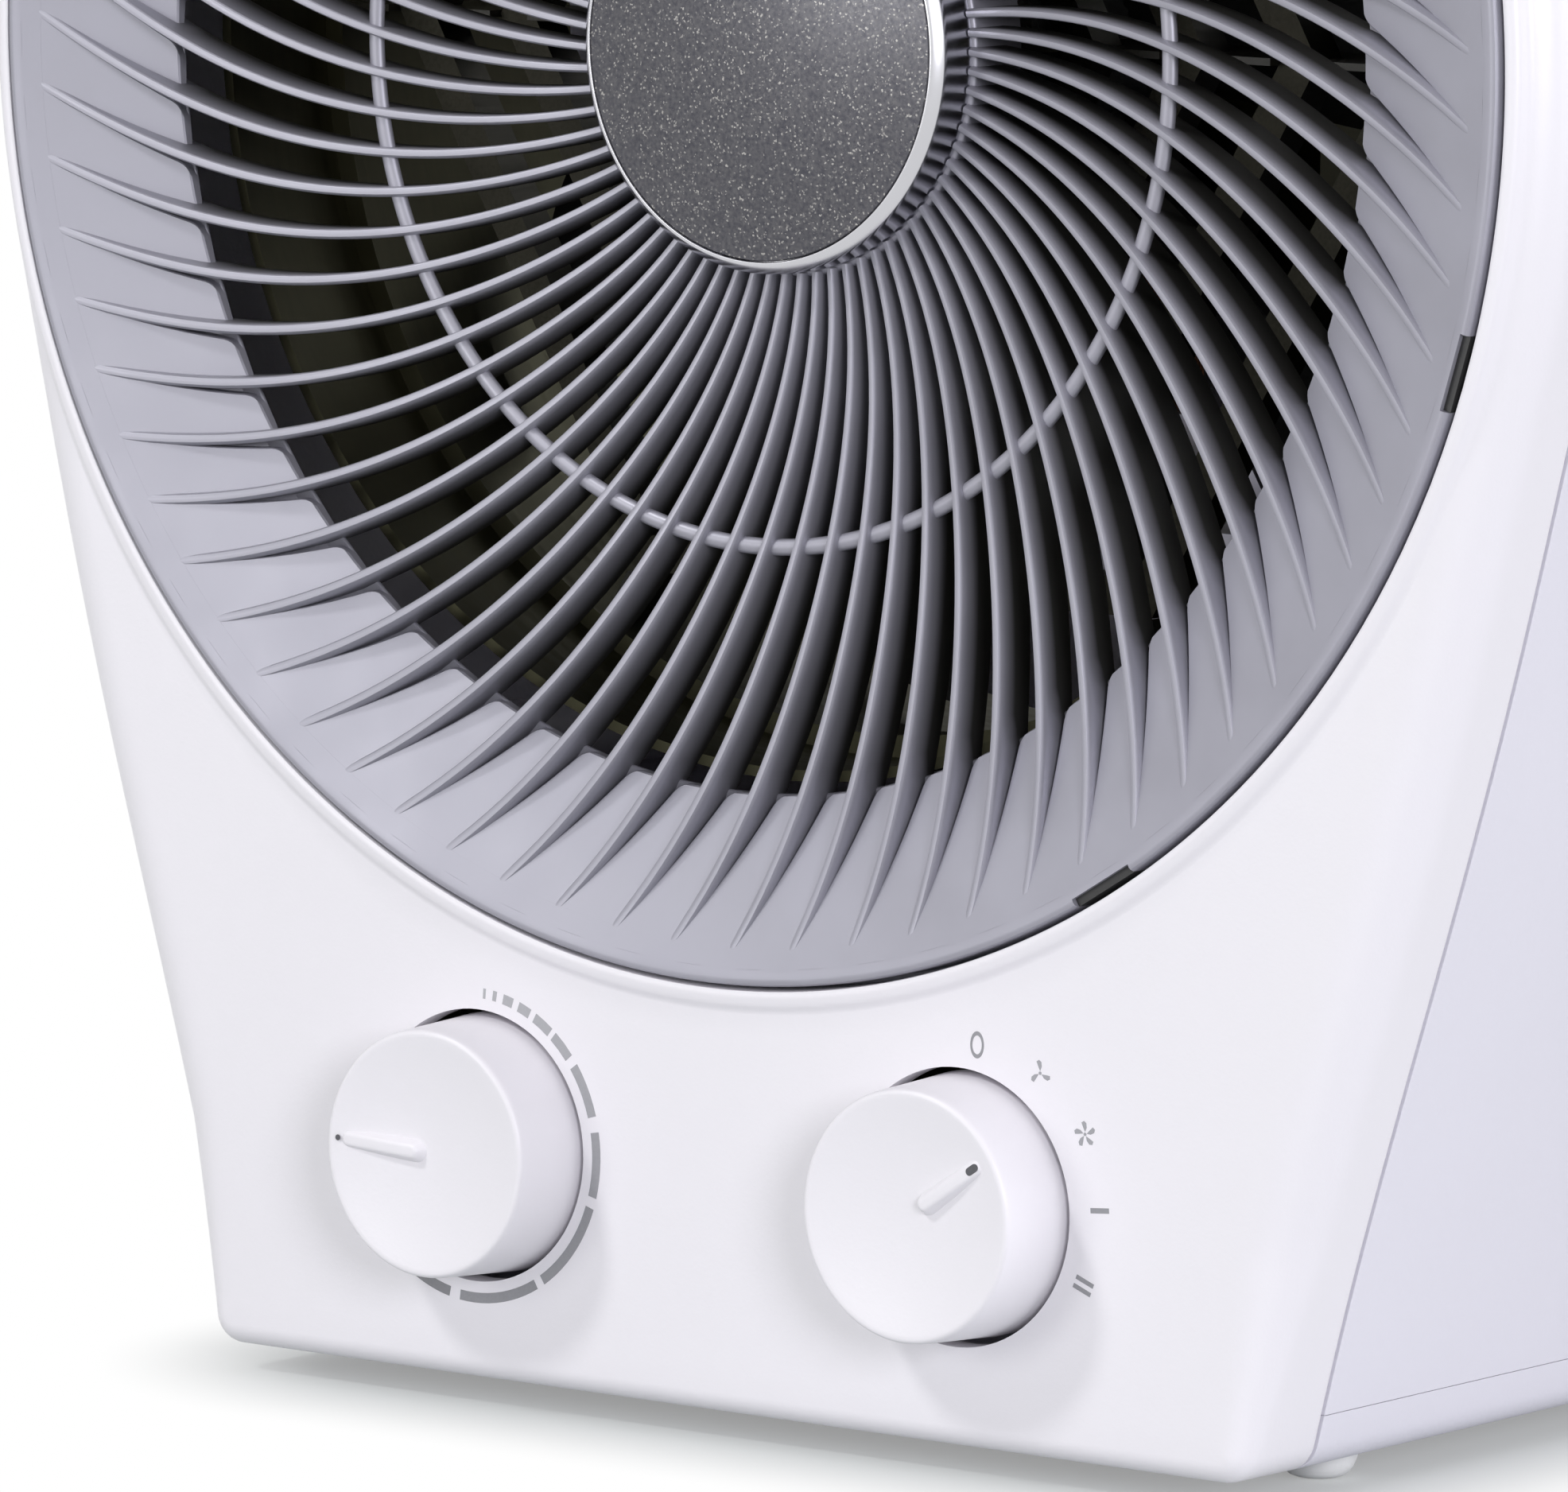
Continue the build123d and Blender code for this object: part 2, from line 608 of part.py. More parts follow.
def control_terminals():
    """Push-on blades: two on the thermostat, a ring of five on the switch."""
    rear = PLATE_REAR + CONTROL_DEPTH
    blade = Rectangle(BLADE_WALL, BLADE_WIDTH)
    places = [Pos(-KNOB_X + side * THERMOSTAT_WIDTH / 4, -KNOB_DROP) * blade for side in (-1, 1)]
    for index in range(SWITCH_BLADES):
        turn = Rot(0, 0, index * 360 / SWITCH_BLADES)
        places.append(Pos(KNOB_X, -KNOB_DROP) * turn * Pos(SWITCH_R - BLADE_WIDTH / 2, 0) * blade)
    return group(slab(place, rear, rear + BLADE_LENGTH) for place in places)


def screw(seat, length, x, height, head_way):
    """Hex-head screw: head on the rear (1) or front (-1) of its seat, shank the other way."""
    head = sorted((seat, seat + head_way * SCREW_HEAD))
    shank = sorted((seat, seat - head_way * length))
    hexagon = Pos(x, height) * RegularPolygon(SCREW_HEAD_R, 6)
    return slab(hexagon, *head) + rod(SCREW_R, *shank, x, height)


def casing_screws():
    seat = TOWER_FRONT + TOWER_FLOOR
    return group(screw(seat, TOWER_FLOOR + SCREW_BITE, x, height, 1) for x, height in TOWERS)


def plate_screws():
    return group(screw(PLATE_REAR, PLATE_WALL + SCREW_BITE, x, height, 1) for x, height in PLATE_POSTS)


def duct_screws():
    length = POST_DEPTH - EAR_DEPTH + SCREW_BITE - OVERCUT
    places = [polar(EAR_R, 45 + 90 * quarter) for quarter in range(4)]
    return group(screw(EAR_DEPTH, length, x, height, -1) for x, height in places)


def tray_screws():
    seat = TRAY_SEAT - TOWER_FLOOR
    tip = TRAY_SEAT + SCREW_BITE - OVERCUT
    profile = [(0, seat - SCREW_HEAD), (SCREW_HEAD_R, seat - SCREW_HEAD), (SCREW_HEAD_R, seat),
               (SCREW_R, seat), (SCREW_R, tip), (0, tip)]
    return group(upright(profile, x, TRAY_BOSS_DEPTH) for x in (-TRAY_BOSS_X, TRAY_BOSS_X))


def fan_duct():
    duct = tube(DUCT_R, DUCT_R + DUCT_WALL, DUCT_FRONT, BRACKET_DEPTH)
    duct += tube(DUCT_R - LEDGE_WIDTH, DUCT_R, HEATER_FRONT - LEDGE_WALL, HEATER_FRONT)
    ear_start = DUCT_R + DUCT_WALL / 2
    reach = EAR_R + EAR_WIDTH / 2 - ear_start
    for quarter in range(4):
        ear = Pos(ear_start + reach / 2, 0) * Rectangle(reach, EAR_WIDTH)
        ear -= Pos(EAR_R, 0) * Circle(SCREW_R + HOLE_SLIP)
        duct += slab(Rot(0, 0, 45 + 90 * quarter) * ear, EAR_DEPTH, BRACKET_DEPTH)
    return duct


def motor_bracket():
    sheet = Sketch() + Circle(MOTOR_PLATE_R)
    reach = EAR_R + EAR_WIDTH / 2
    for quarter in range(4):
        turn = Rot(0, 0, 45 + 90 * quarter)
        sheet += turn * Pos(reach / 2, 0) * Rectangle(reach, EAR_WIDTH)
    for quarter in range(4):
        sheet -= Pos(*polar(EAR_R, 45 + 90 * quarter)) * Circle(SCREW_R + HOLE_SLIP)
    for x in (-MOTOR_BOLT_X, MOTOR_BOLT_X):
        sheet -= Pos(x, 0) * Circle(MOTOR_BOLT_R + MOTOR_BOLT_SLIP)
    sheet -= Circle(MOTOR_PLATE_HOLE_R)
    return slab(sheet, BRACKET_DEPTH, POST_DEPTH)


def motor_core():
    height = CORE_TOP - CORE_BOTTOM
    sheet = Pos(0, (CORE_TOP + CORE_BOTTOM) / 2) * Rectangle(2 * CORE_HALF_WIDTH, height)
    window_low = CORE_BOTTOM + CORE_BAR
    window = Rectangle(2 * WINDOW_HALF_WIDTH, WINDOW_TOP - window_low)
    sheet -= Pos(0, (WINDOW_TOP + window_low) / 2) * window
    sheet -= Circle(BORE_R)
    for x in (-MOTOR_BOLT_X, MOTOR_BOLT_X):
        sheet -= Pos(x, 0) * Circle(MOTOR_BOLT_R + MOTOR_BOLT_SLIP)
    return slab(sheet, CORE_FRONT, CORE_REAR)


def bar_sleeve(clear, half_width):
    """Block round the lower bar of the motor core, a clearance larger all round."""
    return block((-half_width, half_width), (CORE_FRONT - clear, CORE_REAR + clear),
                 (CORE_BOTTOM - clear, CORE_BOTTOM + CORE_BAR + clear))


def motor_bobbin():
    half = WINDOW_HALF_WIDTH - SLIP
    bobbin = bar_sleeve(SLIP + BOBBIN_WALL, half)
    rim = bar_sleeve(SLIP + BOBBIN_WALL + COIL_WALL + BOBBIN_RIM, half)
    bobbin += rim - bar_sleeve(2 * COIL_WALL, half - BOBBIN_WALL)
    return bobbin - bar_sleeve(0, 2 * half)


def motor_winding():
    half = WINDOW_HALF_WIDTH - SLIP - BOBBIN_WALL
    winding = bar_sleeve(SLIP + BOBBIN_WALL + COIL_WALL, half)
    winding = fillet(winding.edges().filter_by(Axis.X), COIL_WALL - BOBBIN_WALL)
    return winding - bar_sleeve(SLIP + BOBBIN_WALL, 2 * half)


def bearing_bridge(face, way):
    """Yoke on the front (-1) or rear (1) of the core that carries a shaft bearing."""
    bar = sorted((face + way * (BRIDGE_REACH - BRIDGE_BAR), face + way * BRIDGE_REACH))
    legs = sorted((face, face + way * BRIDGE_REACH))
    boss = sorted((face + way * BRIDGE_GAP, face + way * BRIDGE_REACH))
    rise = BRIDGE_HEIGHT / 2
    end = MOTOR_BOLT_X + BRIDGE_BAR
    bridge = block((-end, end), bar, (-rise, rise)) + rod(BRIDGE_BOSS_R, *boss)
    for side in (-1, 1):
        leg = sorted((side * (MOTOR_BOLT_X - BRIDGE_BAR), side * end))
        bridge += block(leg, legs, (-rise, rise))
        bridge -= rod(MOTOR_BOLT_R + MOTOR_BOLT_SLIP, *legs, side * MOTOR_BOLT_X, 0)
    return bridge - rod(BEARING_R, legs[0] - OVERCUT, legs[1] + OVERCUT)


def bearing(face, way):
    span = sorted((face + way * BRIDGE_GAP, face + way * BRIDGE_REACH))
    return tube(SHAFT_R + SHAFT_SLIP, BEARING_R - SHAFT_SLIP, *span)


def motor_screws():
    rear = CORE_REAR + BRIDGE_REACH
    bolts = []
    for x in (-MOTOR_BOLT_X, MOTOR_BOLT_X):
        shank = rod(MOTOR_BOLT_R, BRACKET_DEPTH, rear, x)
        bolts.append(shank + rod(SCREW_HEAD_R, rear, rear + SCREW_HEAD, x))
    return group(bolts)


def motor_shaft():
    front = IMPELLER_FRONT - CLIP_WALL - SHAFT_END_PLAY
    return rod(SHAFT_R, front, CORE_REAR + BRIDGE_REACH + SHAFT_END_PLAY)


def motor_rotor():
    play = BRIDGE_GAP / 3
    return tube(SHAFT_R, ROTOR_R, CORE_FRONT - play, CORE_REAR + play)


def impeller_clip():
    return tube(SHAFT_R, CLIP_R, IMPELLER_FRONT - CLIP_WALL, IMPELLER_FRONT)


def blade_section(radius, chord, pitch):
    """Cambered section of an impeller blade on a plane square to its radius."""
    middle = (IMPELLER_FRONT + IMPELLER_REAR) / 2
    plane = Plane(origin=(radius, FRONT_Y + middle, AXIS_Z), x_dir=(0, 0, 1), z_dir=(1, 0, 0))
    half = chord / 2
    skin = BLADE_SKIN / 2
    upper = ThreePointArc((-half, skin), (0, BLADE_CAMBER + skin), (half, skin))
    lower = ThreePointArc((half, -skin), (0, BLADE_CAMBER - skin), (-half, -skin))
    ends = [Line((half, skin), (half, -skin)), Line((-half, -skin), (-half, skin))]
    return plane * Rot(0, 0, pitch) * make_face([upper, ends[0], lower, ends[1]])


def impeller():
    bore_r = SHAFT_R + SHAFT_SLIP
    skin = 2 * BLADE_SKIN
    roof = IMPELLER_FRONT + skin
    hub = turned([
        (bore_r, IMPELLER_FRONT),
        (IMPELLER_HUB_R - skin, IMPELLER_FRONT),
        (IMPELLER_HUB_R, roof),
        (IMPELLER_HUB_R, IMPELLER_REAR),
        (IMPELLER_HUB_R - BLADE_SKIN, IMPELLER_REAR),
        (IMPELLER_HUB_R - BLADE_SKIN, roof),
        (CLIP_R, roof),
        (CLIP_R, IMPELLER_REAR),
        (bore_r, IMPELLER_REAR),
    ])
    root = blade_section(IMPELLER_HUB_R - BLADE_SKIN / 2, ROOT_CHORD, ROOT_PITCH)
    tip = blade_section(IMPELLER_R + skin, TIP_CHORD, TIP_PITCH)
    blade = loft([root, tip], ruled=True) & rod(IMPELLER_R, 0, BODY_DEPTH)
    blades = [spun(blade, index * 360 / BLADE_COUNT) for index in range(BLADE_COUNT)]
    return hub + blades


def louvre(height):
    """Level slat of the rear guard that rises towards the rear."""
    start = Plane(origin=(-REAR_RING_R, FRONT_Y, AXIS_Z + height), x_dir=(0, 1, 0), z_dir=(1, 0, 0))
    front = BODY_DEPTH - LOUVRE_DEPTH
    section = Polyline(
        (front, -(LOUVRE_RISE + LOUVRE_WALL) / 2),
        (BODY_DEPTH, (LOUVRE_RISE - LOUVRE_WALL) / 2),
        (BODY_DEPTH, (LOUVRE_RISE + LOUVRE_WALL) / 2),
        (front, -(LOUVRE_RISE - LOUVRE_WALL) / 2),
        close=True,
    )
    return extrude(start * make_face(section), 2 * REAR_RING_R)


def rear_grille():
    seat_r = REAR_OPENING_R - HOLE_SLIP
    front = BODY_DEPTH - LOUVRE_DEPTH
    lowest = -(LOUVRE_ROWS - 1) / 2 * LOUVRE_PITCH
    inside = rod((REAR_RING_R + seat_r) / 2, front, BODY_DEPTH)
    guard = tube(REAR_RING_R, seat_r, BACK_INNER - REAR_FLANGE_WALL, BODY_DEPTH)
    guard += tube(REAR_RING_R, REAR_OPENING_R + REAR_FLANGE, BACK_INNER - REAR_FLANGE_WALL, BACK_INNER)
    guard += [louvre(lowest + row * LOUVRE_PITCH) & inside for row in range(LOUVRE_ROWS)]
    for x in (-RIB_X, RIB_X):
        span = (x - RIB_WIDTH / 2, x + RIB_WIDTH / 2)
        guard += block(span, (BACK_INNER, BODY_DEPTH), (-REAR_RING_R, REAR_RING_R)) & inside
    return guard


def gland_square(size, near, far):
    return slab(Pos(GLAND_X, -GLAND_DROP) * Rectangle(size, size), near, far)


def cord_gland():
    wide = GLAND_SIZE + 2 * GLAND_LIP
    gland = gland_square(GLAND_SIZE, BACK_INNER - GLAND_FLANGE, GLAND_REAR)
    gland += gland_square(wide, BODY_DEPTH, GLAND_REAR)
    gland += gland_square(wide, BACK_INNER - GLAND_FLANGE, BACK_INNER)
    return gland - rod(GLAND_BORE_R, 0, 2 * BODY_DEPTH, GLAND_X, -GLAND_DROP)


def heater_band():
    outer = DUCT_R - HEATER_FIT
    return tube(outer - HEATER_BAND, outer, HEATER_FRONT, HEATER_FRONT + HEATER_DEPTH)


def heater_cards():
    half = DUCT_R - HEATER_FIT - HEATER_BAND - HEATER_FIT
    cross = Sketch()
    for index in range(CARD_COUNT):
        cross += Rot(0, 0, index * 180 / CARD_COUNT) * Rectangle(2 * half, CARD_WALL)
    cards = slab(cross, HEATER_FRONT, HEATER_FRONT + HEATER_DEPTH)
    for radius in INNER_COILS + OUTER_COILS:
        reach = COIL_R + HEATER_FIT
        cards -= tube(radius - reach, radius + reach, HEATER_FRONT - OVERCUT, COIL_DEPTH + COIL_R)
    return cards


def heater_coils(radii):
    """Open rings with a corner on each card, the outer form of coils stretched between the cards."""
    coils = []
    for radius in radii:
        sides = 2 * CARD_COUNT
        ring = RegularPolygon(radius + COIL_R, sides) - RegularPolygon(radius - COIL_R, sides)
        ring -= Rot(0, 0, 180 / sides) * Pos(radius, 0) * Rectangle(radius, COIL_GAP)
        coils.append(slab(ring, COIL_DEPTH - COIL_R, COIL_DEPTH + COIL_R))
    return group(coils)


def thermal_cutout():
    return rod(CUTOUT_R, HEATER_FRONT - CUTOUT_HEIGHT, HEATER_FRONT)


def thermal_fuse():
    start = (-FUSE_CENTRE - FUSE_LENGTH / 2, FRONT_Y + HEATER_FRONT - FUSE_R, AXIS_Z)
    plane = Plane(origin=start, x_dir=(0, 1, 0), z_dir=(1, 0, 0))
    return extrude(plane * Circle(FUSE_R), FUSE_LENGTH)


def terminal_block():
    half = BLOCK_LENGTH / 2
    body = block((BLOCK_X - half, BLOCK_X + half), (BLOCK_DEPTH, BLOCK_DEPTH + BLOCK_WIDTH),
                 (FLOOR_INNER, FLOOR_INNER + BLOCK_HEIGHT))
    pitch = BLOCK_LENGTH / BLOCK_POLES
    for index in range(BLOCK_POLES):
        x = BLOCK_X - half + pitch * (index + 0.5)
        body -= rod(BLOCK_HOLE_R, 0, BODY_DEPTH, x, FLOOR_INNER + BLOCK_HEIGHT / 2)
    return body


def heater_nodes():
    """Every piece of the heater by the name of its node."""
    nodes = {
        "front_panel": front_panel(),
        "rear_casing": rear_casing(),
        "base_tray": base_tray(),
        "front_grille": front_grille(),
        "hub_cap": hub_cap(),
        "hub_disc": hub_disc(),
        "rear_grille": rear_grille(),
        "cord_gland": cord_gland(),
        "fan_duct": fan_duct(),
        "motor_bracket": motor_bracket(),
        "motor_core": motor_core(),
        "motor_bobbin": motor_bobbin(),
        "motor_winding": motor_winding(),
        "front_bearing_bridge": bearing_bridge(CORE_FRONT, -1),
        "rear_bearing_bridge": bearing_bridge(CORE_REAR, 1),
        "front_bearing": bearing(CORE_FRONT, -1),
        "rear_bearing": bearing(CORE_REAR, 1),
        "motor_shaft": motor_shaft(),
        "motor_rotor": motor_rotor(),
        "impeller": impeller(),
        "impeller_clip": impeller_clip(),
        "heater_band": heater_band(),
        "heater_cards": heater_cards(),
        "heater_coil_inner": heater_coils(INNER_COILS),
        "heater_coil_outer": heater_coils(OUTER_COILS),
        "thermal_cutout": thermal_cutout(),
        "thermal_fuse": thermal_fuse(),
        "control_plate": control_plate(),
        "control_nuts": control_nuts(),
        "control_terminals": control_terminals(),
        "thermostat_body": thermostat_body(),
        "thermostat_knob": knob(-KNOB_X, THERMOSTAT_REST),
        "thermostat_spindle": spindle(-KNOB_X),
        "selector_switch": selector_switch(),
        "selector_knob": knob(KNOB_X, SELECTOR_REST),
        "selector_spindle": spindle(KNOB_X),
        "terminal_block": terminal_block(),
        "casing_screws": casing_screws(),
        "plate_screws": plate_screws(),
        "duct_screws": duct_screws(),
        "tray_screws": tray_screws(),
        "motor_screws": motor_screws(),
    }
    for name, place in FEET.items():
        nodes[name] = foot(*place)
    return nodes


os.makedirs("parts", exist_ok=True)
for node, shape in heater_nodes().items():
    export_step(shape, f"parts/{node}.step")
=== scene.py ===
# %% [markdown]
# # A table fan heater, dressed for the camera
#
# A small fan heater: a deep white body with a round top, a round grey grille of curved fins, a
# metallic hub cap and two knobs. Its solids come in as a fixed frame. Shown as they are, they would
# look like a drawing, so the hidden ones are painted and the outer mouldings are replaced by finer
# meshes with rounded edges, along which light runs as it does on real plastic.

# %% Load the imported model
import math

import bmesh
import bpy
import numpy as np
from mathutils import Matrix, Vector


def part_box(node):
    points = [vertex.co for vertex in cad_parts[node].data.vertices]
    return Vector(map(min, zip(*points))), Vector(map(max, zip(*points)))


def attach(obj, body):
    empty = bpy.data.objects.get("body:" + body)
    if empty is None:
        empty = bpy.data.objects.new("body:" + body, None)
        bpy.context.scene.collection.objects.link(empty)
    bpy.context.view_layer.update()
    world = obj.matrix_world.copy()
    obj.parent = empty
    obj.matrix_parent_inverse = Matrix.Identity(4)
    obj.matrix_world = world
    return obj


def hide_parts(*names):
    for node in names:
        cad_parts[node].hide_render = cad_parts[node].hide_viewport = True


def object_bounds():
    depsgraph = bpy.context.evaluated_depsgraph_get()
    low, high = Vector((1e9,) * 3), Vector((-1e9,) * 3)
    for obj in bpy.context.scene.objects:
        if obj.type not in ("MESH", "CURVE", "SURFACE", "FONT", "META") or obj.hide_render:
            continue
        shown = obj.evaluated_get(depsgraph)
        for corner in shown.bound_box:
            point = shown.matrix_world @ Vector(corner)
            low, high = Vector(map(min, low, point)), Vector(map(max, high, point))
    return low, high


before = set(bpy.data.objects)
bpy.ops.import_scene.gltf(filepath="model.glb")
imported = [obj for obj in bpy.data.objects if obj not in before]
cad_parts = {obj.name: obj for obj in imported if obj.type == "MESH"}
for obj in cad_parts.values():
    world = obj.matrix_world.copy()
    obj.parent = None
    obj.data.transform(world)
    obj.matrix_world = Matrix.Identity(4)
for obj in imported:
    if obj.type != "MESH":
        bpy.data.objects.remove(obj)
cad_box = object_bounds()
scene = bpy.context.scene
scene.view_settings.view_transform = "Standard"
print(len(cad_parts), "solids, box", [round(v, 4) for v in (*cad_box[0], *cad_box[1])])

# %% [markdown]
# ## One set of coordinates
#
# A maker draws this heater from the front, and so does this script, in millimetres: `x` to the right,
# `depth` back from the panel's face, `height` above the axis of the fan. Metres and world axes would
# do, but a drawing's numbers are easier to check. `spot` turns a point into metres. The axis and the
# face are found from the model: the top is 132 mm above the axis and the knobs stand 11.3 mm proud.

# %% From the front view to metres
MM = 0.001
TOP_R = 132.0
KNOB_STAND = 11.3
AXIS_Z = cad_box[1].z / MM - TOP_R
FRONT_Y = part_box("selector_knob")[0].y / MM + KNOB_STAND


def spot(x, depth, height):
    """Point of the front view, in metres in the frame of the model."""
    return (x * MM, (FRONT_Y + depth) * MM, (AXIS_Z + height) * MM)


print("axis at height", round(AXIS_Z, 2), "mm, panel face at y", round(FRONT_Y, 2), "mm")

# %% [markdown]
# ## The camera
#
# The heater is seen from its right and a little from above. A camera can be placed by eye; this one
# was fitted to the photograph from the round opening, the outline and the knob holes, so that edges
# fall where they should. It looks along its own -Z, so its matrix holds the right, up and backward
# directions as columns. The long lens, 1.8 m away, keeps the perspective flat.

# %% Place the camera
CAMERA_TURN = (-37.4986, -6.7477, 0.76)
CAMERA_AT = (1052.16, -1422.11, AXIS_Z + 110.46)
FOCAL_LENGTH = 297.77
SENSOR_WIDTH = 36.0
yaw, pitch, roll = (math.radians(v) for v in CAMERA_TURN)
ahead = Vector((math.sin(yaw) * math.cos(pitch), math.cos(yaw) * math.cos(pitch), math.sin(pitch)))
horizon = ahead.cross(Vector((0, 0, 1))).normalized()
upward = horizon.cross(ahead)
right = horizon * math.cos(roll) + upward * math.sin(roll)
up = upward * math.cos(roll) - horizon * math.sin(roll)

lens = bpy.data.cameras.new("camera")
lens.sensor_fit = "HORIZONTAL"
lens.sensor_width = SENSOR_WIDTH
lens.lens = FOCAL_LENGTH
lens.clip_end = 100.0
camera = bpy.data.objects.new("camera", lens)
scene.collection.objects.link(camera)
axes = Matrix((right, up, -ahead)).transposed().to_4x4()
camera.matrix_world = Matrix.Translation(Vector(CAMERA_AT) * MM) @ axes
scene.camera = camera
print("camera at", [round(v, 3) for v in camera.location])

# %% [markdown]
# ## Arithmetic with sockets
#
# Materials and Geometry Nodes are graphs. They can be wired link by link, but a formula is easier to
# read, so `Wire` wraps an output socket and lets arithmetic build the graph: `2 * noise + 0.1` adds
# the Math nodes by itself.

# %% Wires


def joined(operation, reflected=False):
    """Operator that joins a wire and another value by a Math node."""
    def method(self, other):
        return self.math(operation, *((other, self) if reflected else (self, other)))
    return method


class Wire:
    """Output socket of a node that takes part in plain arithmetic."""

    def __init__(self, graph, socket):
        self.graph = graph
        self.socket = socket

    def math(self, operation, *values):
        return self.graph.node("ShaderNodeMath", {"operation": operation}, dict(enumerate(values)))

    __add__, __radd__ = joined("ADD"), joined("ADD", True)
    __sub__, __rsub__ = joined("SUBTRACT"), joined("SUBTRACT", True)
    __mul__, __rmul__ = joined("MULTIPLY"), joined("MULTIPLY", True)
    __truediv__, __rtruediv__ = joined("DIVIDE"), joined("DIVIDE", True)
    __pow__, __rpow__ = joined("POWER"), joined("POWER", True)


print("wires can be added, subtracted, multiplied, divided and raised to a power")

# %% [markdown]
# ## Graphs and paints
#
# `Graph` is any node tree. Its `node` method adds a node: first the settings, since some change the
# sockets, then values or wires for the sockets. `Paint` is one material. It could mix shaders, but
# plastic, metal, lacquer and ink all lie within the Principled shader, so that one is enough.

# %% Graphs


class Graph:
    """Node tree that is built by calls and hands out wires."""

    def __init__(self, tree):
        self.tree = tree

    def feed(self, node, sockets):
        for key, value in sockets.items():
            key = key.replace("_", " ") if isinstance(key, str) else key
            if isinstance(value, Wire):
                self.tree.links.new(value.socket, node.inputs[key])
            else:
                node.inputs[key].default_value = value

    def node(self, kind, settings=None, sockets=None, output=0):
        made = self.tree.nodes.new(kind)
        for key, value in (settings or {}).items():
            setattr(made, key, value)
        self.feed(made, sockets or {})
        return Wire(self, made.outputs[output])

    def span(self, value, low, high, to_low=0.0, to_high=1.0, smooth=False):
        settings = {"interpolation_type": "SMOOTHSTEP" if smooth else "LINEAR"}
        sockets = {"Value": value, "From Min": low, "From Max": high, "To Min": to_low, "To Max": to_high}
        return self.node("ShaderNodeMapRange", settings, sockets)


print("a graph adds nodes, fills their sockets and spans values")

# %% Paints


class Paint(Graph):
    """Node material around one Principled shader."""

    def __init__(self, name, **values):
        self.material = bpy.data.materials.new(name)
        self.material.use_nodes = True
        super().__init__(self.material.node_tree)
        self.shader = self.tree.nodes["Principled BSDF"]
        self.feed(self.shader, values)

    def coords(self, stretch=(1, 1, 1)):
        place = self.node("ShaderNodeTexCoord", output="Object")
        return self.node("ShaderNodeVectorMath", {"operation": "MULTIPLY"}, {0: place, 1: stretch})

    def noise(self, scale, detail=3.0, stretch=(1, 1, 1)):
        sockets = {"Vector": self.coords(stretch), "Scale": scale, "Detail": detail}
        return self.node("ShaderNodeTexNoise", None, sockets)

    def attribute(self, name):
        return self.node("ShaderNodeAttribute", {"attribute_name": name}, output="Fac")

    def blend(self, factor, dark, light):
        ends = [end if isinstance(end, Wire) else (*end, 1) for end in (dark, light)]
        return self.node("ShaderNodeMix", {"data_type": "RGBA"}, {0: factor, 6: ends[0], 7: ends[1]}, 2)

    def bump(self, height, strength, distance):
        sockets = {"Height": height, "Strength": strength, "Distance": distance}
        return self.node("ShaderNodeBump", None, sockets)

    def wear(self, **wires):
        self.feed(self.shader, wires)
        return self.material


print("a paint is one Principled shader and the graph that feeds it")

# %% [markdown]
# ## Moulded plastics
#
# Panel, casing, knobs and feet are white plastic, and some inner pieces are black. One flat colour
# would do for a sketch, but real plastic drifts in shade where the melt flowed, its gloss varies and
# the tool leaves a grain, so `moulded` mixes a broad and a fine noise. Patterns read Object
# coordinates, which are metres here: at a scale of 1000 a feature is about a millimetre across.

# %% Plastics
GRAIN_DEPTH = 0.0002
CLOUD_SCALE = 9.0


def shades(colour, drift):
    """A darker and a lighter shade of a colour."""
    return [[c * (1 + sign * drift) for c in colour] for sign in (-1, 1)]


def moulded(name, colour, drift, gloss, grain_scale, grain):
    """Moulded plastic with drifting shade, uneven gloss and a fine tool grain."""
    paint = Paint(name, IOR=1.5)
    cloud = paint.noise(CLOUD_SCALE, 4.0)
    fine = paint.noise(grain_scale, 2.0)
    shade = paint.blend(paint.span(cloud, 0.35, 0.65), *shades(colour, drift))
    roughness = paint.span(cloud + 0.4 * fine, 0.4, 1.0, gloss - 0.05, gloss + 0.07)
    bumps = paint.bump(fine, grain, GRAIN_DEPTH)
    return paint.wear(Base_Color=shade, Roughness=roughness, Normal=bumps)


panel_white = moulded("panel_white", (0.81, 0.79, 0.83), drift=0.012, gloss=0.36, grain_scale=1500.0,
                      grain=0.10)
# The casing is a darker, bluer copy of the panel's white: painted shade that keeps the side walls darker than
# the face.
casing_white = moulded("casing_white", (0.75, 0.735, 0.805), drift=0.014, gloss=0.44, grain_scale=1200.0,
                       grain=0.22)
foot_white = moulded("foot_white", (0.80, 0.80, 0.80), drift=0.02, gloss=0.5, grain_scale=900.0, grain=0.25)
black_plastic = moulded("black_plastic", (0.022, 0.022, 0.022), drift=0.15, gloss=0.45, grain_scale=900.0,
                        grain=0.25)
print("plastics:", panel_white.name, casing_white.name, foot_white.name, black_plastic.name)

# %% [markdown]
# ## Sheet metal, wire and chrome
#
# Behind the fins lie plated sheets, fasteners and the heating wire; the hub cap is chromed. Rolling
# and drawing leave streaks in metal. A picture could carry them, but a noise stretched along one axis
# does it at any size. The inner sheets and the heating wire are painted dark, as painted shade,
# because little light gets in and out again.

# %% Metals


def brushed(name, colour, gloss, stretch, drift=0.18):
    """Metal with streaks along the axis that stretch leaves long."""
    paint = Paint(name, Metallic=1.0)
    streak = paint.noise(60.0, 5.0, stretch)
    stain = paint.noise(35.0, 3.0)
    shade = paint.blend(paint.span(streak * 0.6 + stain * 0.4, 0.35, 0.65), *shades(colour, drift))
    roughness = paint.span(streak, 0.3, 0.7, gloss - 0.07, gloss + 0.09)
    return paint.wear(Base_Color=shade, Roughness=roughness, Normal=paint.bump(streak, 0.12, GRAIN_DEPTH))
